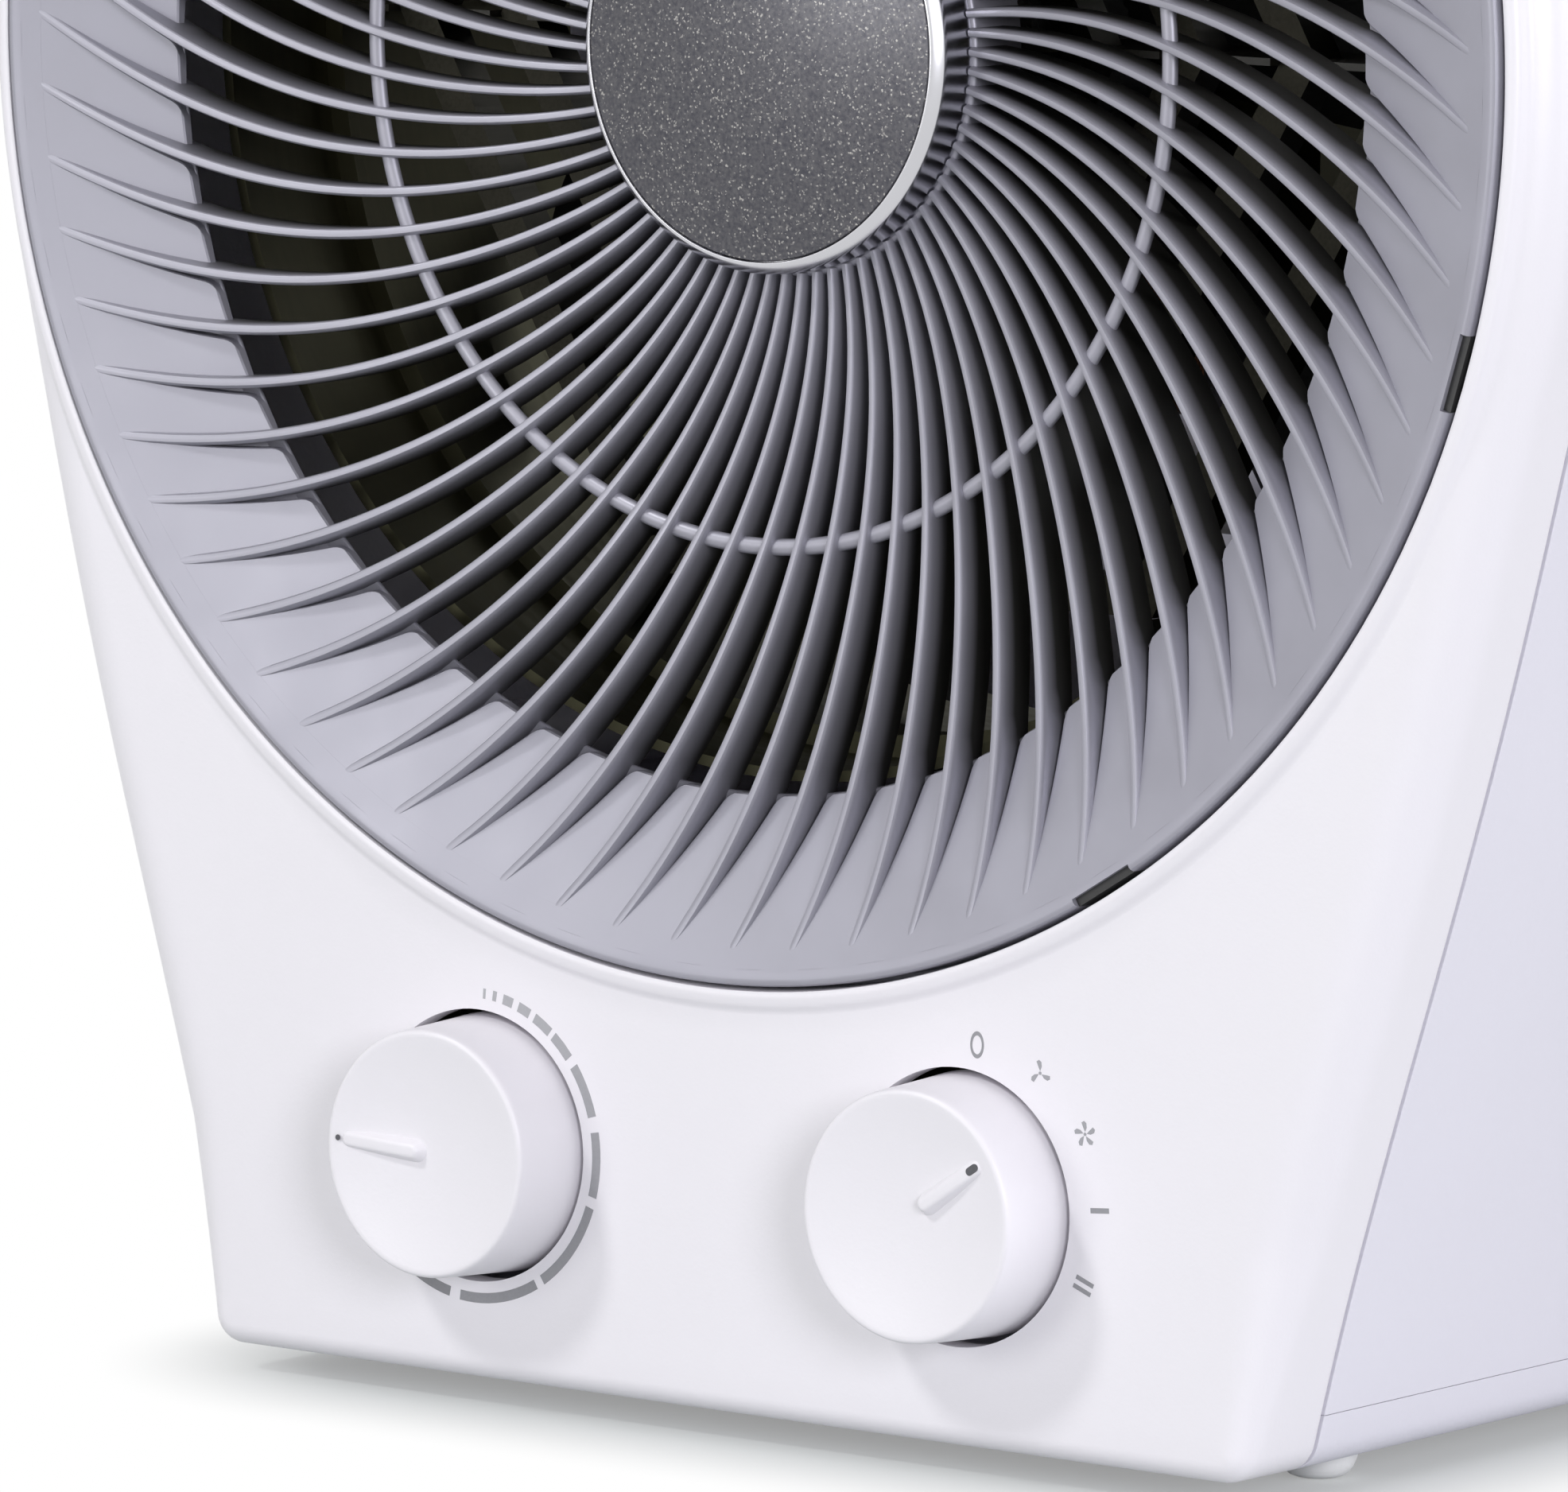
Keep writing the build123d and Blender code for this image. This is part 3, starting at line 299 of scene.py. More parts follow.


# Painted shade: sheet and wire are far darker than bare metal, as they lie deep inside.
sheet_steel = brushed("sheet_steel", (0.085, 0.082, 0.052), gloss=0.5, stretch=(1, 12, 1))
bright_steel = brushed("bright_steel", (0.55, 0.55, 0.54), gloss=0.3, stretch=(1, 8, 1))
bronze = brushed("bronze", (0.55, 0.40, 0.20), gloss=0.35, stretch=(1, 8, 1))
heating_wire = brushed("heating_wire", (0.04, 0.038, 0.03), gloss=0.5, stretch=(30, 1, 30), drift=0.3)
chrome = brushed("chrome", (0.60, 0.60, 0.63), gloss=0.19, stretch=(1, 1, 1), drift=0.03)
print("metals:", sheet_steel.name, bright_steel.name, bronze.name, heating_wire.name, chrome.name)

# %% [markdown]
# ## The silver-grey of the grille, with painted shade
#
# The grille is moulded in silver-grey and looks almost black deep between its fins, where it lies in
# shade. That could be left to the lamps, but large soft lamps reach in too far. So each fin carries how
# far a point is `sunk` behind its front edge, and painted shade darkens the paint with it, sooner on
# the right, where the flanks in view turn away from the light.

# %% Grille grey
LIT_EDGE = 0.7
LIT_DEPTH = (5.0, 2.6)
RIGHT_OF = (0.005, 0.05)
grille = Paint("grille_grey", Metallic=0.4)
melt = grille.noise(60.0, 5.0)
lit = grille.blend(grille.span(melt, 0.35, 0.65), (0.305, 0.301, 0.346), (0.33, 0.326, 0.375))
sideways = grille.node("ShaderNodeSeparateXYZ", None, {0: grille.coords()})
# Painted shade: the colour turns near black with the sunk depth, sooner towards the right.
lit_depth = grille.span(sideways, *RIGHT_OF, *LIT_DEPTH, True)
painted_shade = grille.span((grille.attribute("sunk") - LIT_EDGE) / lit_depth, 0.0, 1.0)
grille_grey = grille.wear(Base_Color=grille.blend(painted_shade, lit, (0.035, 0.034, 0.032)),
                          Roughness=grille.span(melt, 0.3, 0.7, 0.36, 0.5),
                          Normal=grille.bump(melt, 0.12, GRAIN_DEPTH))
print("grille grey:", len(grille.tree.nodes), "nodes")

# %% [markdown]
# ## Winding and mica
#
# The motor has a coil of enamelled wire, and the heater's cards are split mica. The turns could be
# modelled, but they lie far behind the fins, so a wave texture of fine bands stands for them. Mica
# gets a noise with much detail, like its thin leaves.

# %% Winding and mica
LEAF_DEPTH = 0.0004
coil = Paint("copper_winding", Roughness=0.38)
turns = coil.node("ShaderNodeTexWave", {"wave_type": "BANDS", "bands_direction": "X"},
                  {"Vector": coil.coords(), "Scale": 700.0, "Distortion": 0.6})
copper_winding = coil.wear(Base_Color=coil.blend(turns, (0.16, 0.05, 0.02), (0.40, 0.15, 0.05)),
                           Normal=coil.bump(turns, 0.6, LEAF_DEPTH))

card = Paint("mica", Roughness=0.35)
leaf = card.noise(140.0, 6.0)
mica = card.wear(Base_Color=card.blend(leaf, (0.02, 0.018, 0.013), (0.045, 0.042, 0.03)),
                 Normal=card.bump(leaf, 0.3, LEAF_DEPTH))
print("inner finishes:", copper_winding.name, mica.name)

# %% [markdown]
# ## Flake lacquer and ink
#
# The disc in the hub is lacquered in dark silver with metal flake. Chips could be scattered on it; a
# Voronoi texture is lighter: it gives each small cell a random value, and only the highest sparkle.
# The ink of the printed marks reads a `tone` that each mark carries, because the dashes round the
# thermostat run from light to dark.

# %% Flake lacquer and ink
lacquer = Paint("flake_lacquer", Metallic=0.6, Coat_Weight=0.3, Coat_Roughness=0.2)
cell = lacquer.node("ShaderNodeTexVoronoi", {"feature": "F1"},
                    {"Vector": lacquer.coords(), "Scale": 4200.0}, "Color")
chance = lacquer.node("ShaderNodeSeparateColor", None, {"Color": cell})
mottle = lacquer.span(lacquer.noise(1800.0, 3.0), 0.3, 0.7, 0.0, 0.07)
spark = lacquer.span(chance, 0.91, 1.0, 0.0, 0.38)
flake = lacquer.wear(Base_Color=lacquer.blend(mottle + spark, (0.043, 0.043, 0.056), (0.85, 0.82, 0.76)),
                     Roughness=lacquer.span(chance, 0.0, 1.0, 0.26, 0.38))

printing = Paint("print_ink", Roughness=0.5)
strength = printing.attribute("tone") + 0.08 * printing.noise(2500.0, 2.0) - 0.04
ink = printing.wear(Base_Color=printing.blend(strength, (0.62, 0.62, 0.65), (0.05, 0.05, 0.06)))
print("lacquer and ink:", flake.name, ink.name, "-", len(bpy.data.materials), "materials in all")

# %% [markdown]
# ## Objects from points
#
# Every visible piece ends as a plain mesh. It could be modelled by hand; written as points and faces,
# each size stays readable. `rough` makes the bare object. `dress` finishes it: it cleans the mesh,
# shades it smooth but keeps edges hard that bend more than an angle, adds the material, and ties the
# object to a body.

# %% Bare objects
SAME_SPOT = 2e-6


def placed(name, points, faces):
    """Object in the scene from points in metres."""
    mesh = bpy.data.meshes.new(name)
    mesh.from_pydata([tuple(p) for p in points], [], faces)
    made = bpy.data.objects.new(name, mesh)
    scene.collection.objects.link(made)
    return made


def clean(mesh):
    """Merge points that fall together, drop empty faces and turn all faces outward."""
    work = bmesh.new()
    work.from_mesh(mesh)
    bmesh.ops.remove_doubles(work, verts=work.verts, dist=SAME_SPOT)
    bmesh.ops.dissolve_degenerate(work, edges=work.edges, dist=SAME_SPOT)
    bmesh.ops.recalc_face_normals(work, faces=work.faces)
    work.to_mesh(mesh)
    work.free()


def rough(name, points, faces):
    """Clean object from front-view points, not yet dressed."""
    made = placed(name, [spot(*p) for p in points], faces)
    clean(made.data)
    return made


print("points closer than", SAME_SPOT, "m are merged")

# %% Dressed pieces
HARD_EDGE = 32.0


def dress(made, material, body, sharp=HARD_EDGE):
    """Clean the mesh of an object, shade it and tie it to its body."""
    mesh = made.data
    clean(mesh)
    mesh.shade_smooth()
    mesh.set_sharp_from_angle(angle=math.radians(sharp))
    mesh.materials.clear()
    mesh.materials.append(material)
    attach(made, body)
    return made


def piece(name, points, faces, material, body, slot, sharp=HARD_EDGE, tones=None):
    """Finished object from front-view points; printed marks also carry a tone for each point."""
    made = placed(name, [spot(*p) for p in points], faces)
    if tones is not None:
        made.data.attributes.new("tone", "FLOAT", "POINT").data.foreach_set("value", tones)
    return dress(made, material, body, sharp)


print("edges stay hard beyond", HARD_EDGE, "degrees")

# %% [markdown]
# ## Skins from loops
#
# Mouldings are shells that follow an outline; knobs, caps and rings are round. Modifiers could make
# both, but a skin is simpler to steer: closed loops of points, all of one length, joined by quads. A
# turned piece is a skin whose loops are circles, and a stacked one is closed by a face at each end.

# %% Skins and stacks


def skin(loops, wrap=True, start=0):
    """Quads between neighbouring closed loops; wrap joins the last loop to the first."""
    count = len(loops[0])
    faces = []
    for a in range(len(loops) if wrap else len(loops) - 1):
        b = (a + 1) % len(loops)
        for i in range(count):
            j = (i + 1) % count
            faces.append((start + a * count + i, start + a * count + j,
                          start + b * count + j, start + b * count + i))
    return faces


def capped(loops, start=0):
    """Faces of a stack of loops that is closed by a face at each end."""
    count = len(loops[0])
    last = start + (len(loops) - 1) * count
    ends = [tuple(range(start, start + count)), tuple(range(last + count - 1, last - 1, -1))]
    return skin(loops, wrap=False, start=start) + ends


def stacked(loops):
    """Points and faces of a stack of loops that is closed at both ends."""
    return np.concatenate(loops), capped(loops)


print("two loops of 4 points make", len(capped([range(4)] * 2)), "faces")

# %% Circles and turned pieces


def circle(radius, depth, x=0.0, height=0.0, count=192):
    """Loop of front-view points round an axis that runs front to back."""
    turn = np.linspace(0, 2 * math.pi, count, endpoint=False)
    return np.stack([x + radius * np.cos(turn), np.full(count, depth), height + radius * np.sin(turn)], 1)


def level_circle(radius, x, depth, height, count):
    """Loop of front-view points round an upright axis."""
    turn = np.linspace(0, 2 * math.pi, count, endpoint=False)
    return np.stack([x + radius * np.cos(turn), depth + radius * np.sin(turn), np.full(count, height)], 1)


def turned(profile, x=0.0, height=0.0, count=192):
    """Points and faces of a closed (radius, depth) profile turned about a front-to-back axis."""
    loops = [circle(max(r, 1e-4), d, x, height, count) for r, d in profile]
    return np.concatenate(loops), skin(loops)


print("a ring of 4 loops has", len(skin([circle(1, d) for d in range(4)])), "quads")

# %% [markdown]
# ## Carving
#
# Holes, wells and slots are cut into finished skins. They could be woven into the loops, but every
# loop would have to bend round them. An exact Boolean cuts them cleanly, and its result goes into the
# mesh at once, so that no modifier is left.

# %% Carving


def settle(made):
    """Put the result of an object's modifiers into its mesh and drop the modifiers."""
    bpy.context.view_layer.update()
    graph = bpy.context.evaluated_depsgraph_get()
    mesh = bpy.data.meshes.new_from_object(made.evaluated_get(graph))
    made.modifiers.clear()
    made.data = mesh


def carve(made, cutters, operation="DIFFERENCE"):
    """Cut loose objects out of a piece, or join them to it, and drop them."""
    for cutter in cutters:
        change = made.modifiers.new("cut", "BOOLEAN")
        change.solver = "EXACT"
        change.operation = operation
        change.object = cutter
    settle(made)
    for cutter in cutters:
        bpy.data.objects.remove(cutter)


print("cuts are settled into the mesh at once")

# %% Bars and boxes
BOX_FACES = [(0, 1, 3, 2), (4, 6, 7, 5), (0, 4, 5, 1), (2, 3, 7, 6), (0, 2, 6, 4), (1, 5, 7, 3)]


def drill(radius, near, far, x, height, count=96):
    """Loose round bar between two depths."""
    return rough("cutter", *turned([(0, near), (radius, near), (radius, far), (0, far)], x, height, count))


def block(x, depth, height, turn=0.0):
    """Corners of a box between pairs of x, depth and height, turned about the axis of the fan."""
    wide, high = math.cos(turn), math.sin(turn)
    return [(a * wide - c * high, b, a * high + c * wide) for a in x for b in depth for c in height]


def brick(x, depth, height, turn=0.0):
    """Loose box between pairs of x, depth and height."""
    return rough("cutter", block(x, depth, height, turn), BOX_FACES)


print("a box has", len(BOX_FACES), "faces")

# %% [markdown]
# ## The outline of the body
#
# From the front the body has a round top, leaning sides and a slight flare into a base with small
# round corners. It could be traced as one free curve, but arcs and lines can be drawn in evenly,
# which gives the taper, the roundings and the inner walls. A sway of about a millimetre in the sides
# comes from a small table. `half_outline` walks down the right side; `loop` mirrors it.

# %% Measures of the outline
LEAN = math.radians(15.0)
FLARE_R = 1500.0
FLARE_TOP = -152.9
BASE = -182.9
CORNER = 5.0
SIDE = np.array((math.cos(LEAN), -math.sin(LEAN)))
TANGENT = TOP_R * SIDE
FLARE = np.array((TANGENT[0] - (TANGENT[1] - FLARE_TOP) * math.tan(LEAN), FLARE_TOP))
FLARE_CENTRE = FLARE + FLARE_R * SIDE
STEPS = {"arc": 144, "line": 26, "flare": 14, "corner": 10, "sole": 22}
SWAY_AT = (-20, -53, -70, -85, -105, -118, -131, -144, -157, -170, -183)
SWAY = (0.0, 0.6, 0.95, 1.1, 0.65, 0.25, -0.25, -0.65, -0.9, -0.9, -0.75)
SWAY_FULL_X = 80.0
sway = np.polynomial.Polynomial.fit(SWAY_AT, SWAY, 6)
print("the flare starts at", FLARE.round(2), "and the sides sway out by", max(SWAY), "mm at most")

# %% Arcs and lines


def arc(centre, radius, first, last, steps):
    """Points and outward directions along an arc; a negative radius makes it hollow."""
    turn = np.linspace(first, last, steps + 1)[1:]
    ways = np.stack([np.cos(turn), np.sin(turn)], 1)
    return centre + radius * ways, ways


def straight(first, last, way, steps):
    """Points and outward directions along a line."""
    return first + (last - first) * np.linspace(0, 1, steps + 1)[1:, None], np.tile(way, (steps, 1))


print("a quarter turn ends at", arc(np.zeros(2), 1.0, math.pi / 2, 0.0, 4)[0][-1])

# %% Walk along the outline


def half_outline(inset, floor, corner):
    """Points and outward directions from the top down the right side to the middle of the base."""
    reach = FLARE_R + inset
    end = math.asin((floor + corner - FLARE_CENTRE[1]) / (reach + corner))
    knee = np.array((FLARE_CENTRE[0] - (reach + corner) * math.cos(end), floor + corner))
    parts = [(np.array([(0.0, TOP_R - inset)]), np.array([(0.0, 1.0)])),
             arc(np.zeros(2), TOP_R - inset, math.pi / 2, -LEAN, STEPS["arc"]),
             straight(TANGENT - inset * SIDE, FLARE - inset * SIDE, SIDE, STEPS["line"]),
             arc(FLARE_CENTRE, -reach, -LEAN, -end, STEPS["flare"]),
             arc(knee, corner, -end, -math.pi / 2, STEPS["corner"]),
             straight(np.array((knee[0], floor)), np.array((0.0, floor)), (0.0, -1.0), STEPS["sole"])]
    points, ways = (np.concatenate(part) for part in zip(*parts))
    grown_in = np.clip(points[:, 0] / SWAY_FULL_X, 0, 1)
    swayed = np.where(points[:, 1] < SWAY_AT[0], sway(points[:, 1]) - sway(SWAY_AT[0]), 0.0)
    points[:, 0] += swayed * grown_in
    return points, ways


def loop(half, depth):
    """Closed loop from the right half of an outline and one depth, or a depth for each point."""
    depths = np.broadcast_to(depth, len(half))
    rows = np.stack([half[:, 0], depths, half[:, 1]], 1)
    return np.concatenate([rows, (rows * (-1, 1, 1))[-2:0:-1]])


print("outline of", len(loop(half_outline(0, BASE, CORNER)[0], 0)), "points")

# %% [markdown]
# ## The front panel
#
# The panel is a shallow white moulding with the round opening, a raised bead about it and a soft
# edge. A plate with a bevel would have the same outline, but bead and rounding change all the way
# round. So it is one skin: from the collar in the opening over the bead, across the face, round the
# edge and back inside. Over the top there is no room for a flat face; the first cell finds where.

# %% Where the face of the panel ends
EDGE_R = 8.0
BASE_EDGE_R = 3.0
EDGE_GROWS = 30.0
BEAD_R = 128.5
DOWN = -math.pi / 2

rim, rim_ways = half_outline(0, BASE, CORNER)
edge = np.interp(rim[:, 1], (BASE, BASE + CORNER, BASE + EDGE_GROWS), (BASE_EDGE_R, BASE_EDGE_R + 1, EDGE_R))
outward = (rim * rim_ways).sum(1)
narrow = outward - np.sqrt(np.maximum(BEAD_R ** 2 - (rim ** 2).sum(1) + outward ** 2, 0))
columns = np.arange(len(rim))
on_line = (columns > STEPS["arc"]) & (columns <= STEPS["arc"] + STEPS["line"]) & (narrow < EDGE_R)
at_bead = (columns <= STEPS["arc"]) | on_line
inward = np.where(at_bead, narrow, edge)
face_end = rim - rim_ways * inward[:, None]
tilt = np.arcsin(1 - inward / edge)
face_depth = edge * (1 - np.cos(tilt))

bearing = np.arctan2(face_end[:, 1], face_end[:, 0])
rim_bearing = np.arctan2(rim[:, 1], rim[:, 0])
turn_off = np.flatnonzero(~at_bead)[0] - 1
share = (rim_bearing - rim_bearing[turn_off]) / (DOWN - rim_bearing[turn_off])
swung = bearing[turn_off] + share * (DOWN - bearing[turn_off])
bearing = np.where(columns <= turn_off, bearing, swung)
spokes = np.stack([np.cos(bearing), np.sin(bearing)], 1)
print("the edge begins at the bead in", int(at_bead.sum()), "of", len(rim), "columns")

# %% Front panel
OPENING_R = 125.2
COLLAR = 9.0
PANEL_BACK = 15.9
BEAD = ((OPENING_R, COLLAR), (125.2, -0.4), (125.3, -0.7), (125.6, -0.86), (126.0, -0.9), (126.3, -0.88),
        (126.8, -0.74))
BACK_OF_EDGE = ((0, 8.6), (0, 15.2), (0, 15.6), (0.08, 15.8), (0.3, PANEL_BACK),
                (2.5, PANEL_BACK), (2.5, 4.0))
BACK_OF_COLLAR = ((127.4, 4.0), (127.4, COLLAR))

rows = [loop(spokes * radius, depth) for radius, depth in BEAD]
bead_foot, bead_depth = BEAD[-1]
for t in (0.2, 0.4, 0.6, 0.8, 1.0):
    ease = t * t * (3 - 2 * t)
    radius = bead_foot + (BEAD_R - bead_foot) * t
    rows.append(loop(spokes * radius, bead_depth + (face_depth - bead_depth) * ease))
flat = face_end - spokes * BEAD_R
rows += [loop(spokes * BEAD_R + flat * t, face_depth) for t in (0.06, 0.94, 1.0)]
for t in np.linspace(0, 1, 11)[1:]:
    angle = tilt + (math.pi / 2 - tilt) * t
    drawn = edge * (1 - np.sin(angle))
    rows.append(loop(rim - rim_ways * drawn[:, None], edge * (1 - np.cos(angle))))
rows += [loop(rim - rim_ways * inset, depth) for inset, depth in BACK_OF_EDGE]
rows += [loop(spokes * radius, depth) for radius, depth in BACK_OF_COLLAR]

KNOB_X = 40.7
KNOB_Z = -150.7
KNOB_HOLE_R = 18.64
panel = rough("front_panel_moulding", np.concatenate(rows), skin(rows))
carve(panel, [drill(KNOB_HOLE_R, -2, 6, x, KNOB_Z) for x in (-KNOB_X, KNOB_X)])
dress(panel, panel_white, "casing")
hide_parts("front_panel")
print("front panel:", len(rows), "rows of", len(rows[0]), "points")

# %% [markdown]
# ## The body behind the panel
#
# Behind the panel lies a casing that tapers to the back, with a tray as its base: two mouldings that
# meet in a fine seam. They could be drawn one by one. One skin for both is surer: along the wall,
# round the rear edge, across the back to the guard's opening, and inside to the tongue that slips
# into the panel. It is made twice and cut at the seam from either side, so the two always match.

# %% Measures of the body
BODY_FRONT = 16.65
BODY_BACK = 140.0
BACK_INNER = 137.5
REAR_ROUND = 12.0
WALL = 2.5
TAPER = math.tan(math.radians(1.7))
REAR_HOLE_R = 92.0
REAR_HOLE = ((93.0, BODY_BACK), (92.4, BODY_BACK), (92.1, 139.9), (REAR_HOLE_R, 139.6),
             (REAR_HOLE_R, BACK_INNER))
TONGUE = ((4.3, 18.25), (4.3, 11.9), (2.7, 11.9), (2.7, 15.95), (2.0, 15.95), (2.0, BODY_FRONT))
SHARP_CORNER = 0.02
WALL_ROWS = (16.95, 17.5, 40, 80, 110, BODY_BACK - REAR_ROUND)
INSIDE_ROWS = (18.25, 131.0)
print("the body is", round(BODY_BACK - BODY_FRONT, 2), "mm deep")

# %% Outlines of the body


def tapered(depth, inset=0.0):
    """Outline at a depth of the tapered casing, drawn in further by an inset."""
    narrowed = (depth - BODY_FRONT) * TAPER
    return half_outline(narrowed + inset, BASE + inset, max(CORNER - inset, SHARP_CORNER))[0]


def drawn_in(inset):
    """Outline at the front of the casing, drawn in on all sides."""
    return tapered(BODY_FRONT, inset)


def round_loop(half, radius, depth):
    """Circle that has a point in the direction of every point of an outline."""
    turn = np.arctan2(half[:, 1], half[:, 0])
    return loop(radius * np.stack([np.cos(turn), np.sin(turn)], 1), depth)


print("each side narrows by", round((BODY_BACK - BODY_FRONT) * TAPER, 2), "mm towards the back")

# %% Whole skin of the body


def shell(name):
    """Whole skin of the body behind the panel."""
    made = [loop(drawn_in(0.12), BODY_FRONT), loop(drawn_in(0.03), BODY_FRONT + 0.06)]
    made += [loop(tapered(depth), depth) for depth in WALL_ROWS]
    for a in np.linspace(0, math.pi / 2, 9)[1:]:
        depth = BODY_BACK - REAR_ROUND * (1 - math.sin(a))
        made.append(loop(tapered(depth, REAR_ROUND * (1 - math.cos(a))), depth))
    made.append(loop(tapered(BODY_BACK, REAR_ROUND + 0.6), BODY_BACK))
    rear = tapered(BODY_BACK, REAR_ROUND)
    made += [round_loop(rear, radius, depth) for radius, depth in REAR_HOLE]
    made.append(loop(tapered(BACK_INNER, REAR_ROUND), BACK_INNER))
    made.append(loop(tapered(INSIDE_ROWS[1], WALL), INSIDE_ROWS[1]))
    made.append(loop(drawn_in(WALL), INSIDE_ROWS[0]))
    made += [loop(drawn_in(inset), depth) for inset, depth in TONGUE]
    return rough(name, np.concatenate(made), skin(made))


print("the rear edge is rounded by", REAR_ROUND, "mm")

# %% [markdown]
# ## Rear casing and base tray
#
# The casing has four deep screw wells, four posts that carry the duct, and a square hole for the cord
# gland; the tray has two wells in its underside. They have nothing to do with the outline, so they
# are joined or cut after the skin is made.

# %% Rear casing
TRAY_SEAM = (-175.2, -175.1)
WELLS = ((-95, -106), (95, -106), (-76, -164), (76, -164))
WELL_R = 3.8
WELL_WALL_R = 5.5
POST_R = 4.5
POST_RING_R = 106
GLAND_HOLE = ((33.8, 46.2), (136, 141), (-156.2, -143.8))
INTO_BACK = 138.5
PAST_BACK = 141
WELL_FROM, BORE_FROM, POST_FROM = 30, 33, 90
FAR = 400.0
everywhere = (-FAR, FAR)

casing = shell("rear_casing_moulding")
carve(casing, [brick(everywhere, everywhere, (-FAR, TRAY_SEAM[1]))])
carve(casing, [drill(WELL_WALL_R, WELL_FROM, INTO_BACK, x, z, 48) for x, z in WELLS], "UNION")
carve(casing, [drill(WELL_R, BORE_FROM, PAST_BACK, x, z) for x, z in WELLS])
diagonals = [math.radians(45 + 90 * k) for k in range(4)]
posts = [(POST_RING_R * math.cos(a), POST_RING_R * math.sin(a)) for a in diagonals]
carve(casing, [drill(POST_R, POST_FROM, INTO_BACK, x, z, 48) for x, z in posts], "UNION")
carve(casing, [brick(*GLAND_HOLE)])
dress(casing, casing_white, "casing")
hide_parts("rear_casing")
print("casing:", len(casing.data.polygons), "faces")

# %% Base tray
TRAY_WELL_X = 55.0
TRAY_WELL_DEPTH = 129.5

tray = shell("base_tray_moulding")
carve(tray, [brick(everywhere, everywhere, (TRAY_SEAM[0], FAR))])
tray_wells = []
for x in (-TRAY_WELL_X, TRAY_WELL_X):
    loops = [level_circle(WELL_R, x, TRAY_WELL_DEPTH, h, 48) for h in (BASE - 1, BASE + 5)]
    tray_wells.append(rough("cutter", *stacked(loops)))
carve(tray, tray_wells)
dress(tray, casing_white, "casing")
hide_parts("base_tray")
print("tray:", len(tray.data.polygons), "faces")

# %% [markdown]
# ## Copies by Geometry Nodes
#
# The grille repeats one fin and one blade 75 times and a black block of painted shade four times;
# the guard at the back repeats a slat. Python could copy them. A Geometry Nodes tree keeps count and
# step as named inputs: it puts an instance on each point, makes the instances real, moves them to the
# centre and sets the material. The inputs are set by the identifiers of their sockets, and the result
# is a plain mesh.

# %% Trees that copy


class Copier(Graph):
    """Geometry Nodes tree that copies one piece to many points about a centre."""

    def __init__(self, name, inputs):
        super().__init__(bpy.data.node_groups.new(name, "GeometryNodeTree"))
        face = self.tree.interface
        self.names = {}
        for label, kind in (("Geometry", "Geometry"), *inputs, ("Centre", "Vector"), ("Finish", "Material")):
            made = face.new_socket(label, in_out="INPUT", socket_type="NodeSocket" + kind)
            self.names[label] = made.identifier
        face.new_socket("Geometry", in_out="OUTPUT", socket_type="NodeSocketGeometry")
        self.begin = self.tree.nodes.new("NodeGroupInput")
        self.end = self.tree.nodes.new("NodeGroupOutput")

    def given(self, label):
        return Wire(self, self.begin.outputs[label])

    def copy_to(self, points, **placing):
        """Instances on points, made real, moved to the centre and given their material."""
        whole = self.node("GeometryNodeGeometryToInstance", None, {0: self.given("Geometry")})
        sockets = {"Points": points, "Instance": whole, **placing}
        copies = self.node("GeometryNodeInstanceOnPoints", None, sockets)
        real = self.node("GeometryNodeRealizeInstances", None, {0: copies})
        moved = self.node("GeometryNodeTransform", None, {0: real, "Translation": self.given("Centre")})
        done = self.node("GeometryNodeSetMaterial", None, {0: moved, "Material": self.given("Finish")})
        self.feed(self.end, {0: done})


print("every tree takes a centre and a finish")

# %% Grown pieces
GROWN_EDGE = 20.0


def grown(name, points, faces, copier, values, slot, sunk=None):
    """Run a tree on a mesh given in metres and keep its result as a piece of the casing."""
    made = placed(name, points, faces)
    # Sunk depths ride on the points and feed the painted shade of the grille paint.
    if sunk is not None:
        made.data.attributes.new("sunk", "FLOAT", "POINT").data.foreach_set("value", sunk)
    change = made.modifiers.new("grow", "NODES")
    change.node_group = copier.tree
    for label, value in values.items():
        change[copier.names[label]] = value
    settle(made)
    return dress(made, values["Finish"], "casing", GROWN_EDGE)


print("grown pieces keep edges hard beyond", GROWN_EDGE, "degrees")

# %% Copies round the axle
round_axle = Copier("copies_round_axle", (("Count", "Int"), ("Step", "Float")))
index = round_axle.node("GeometryNodeInputIndex")
turning = round_axle.node("ShaderNodeCombineXYZ", None, {"Y": index * round_axle.given("Step")})
facing = round_axle.node("FunctionNodeEulerToRotation", None, {0: turning})
on_axle = round_axle.node("GeometryNodePoints", None, {"Count": round_axle.given("Count")})
round_axle.copy_to(on_axle, Rotation=facing)
print("tree:", round_axle.tree.name, "with", len(round_axle.tree.nodes), "nodes")

# %% [markdown]
# ## The swirl fins
#
# Seventy-five thin fins sweep clockwise from the hub to the rim, sink in a dish towards the hub and
# run out into a coned ring. A curve with a bevel could make one, but its cross-section changes all
# the way. So it is a skin along stations: tables give the angle and the depth of its front edge, and
# smooth curves run through both. The front edge is round, more so on one side.

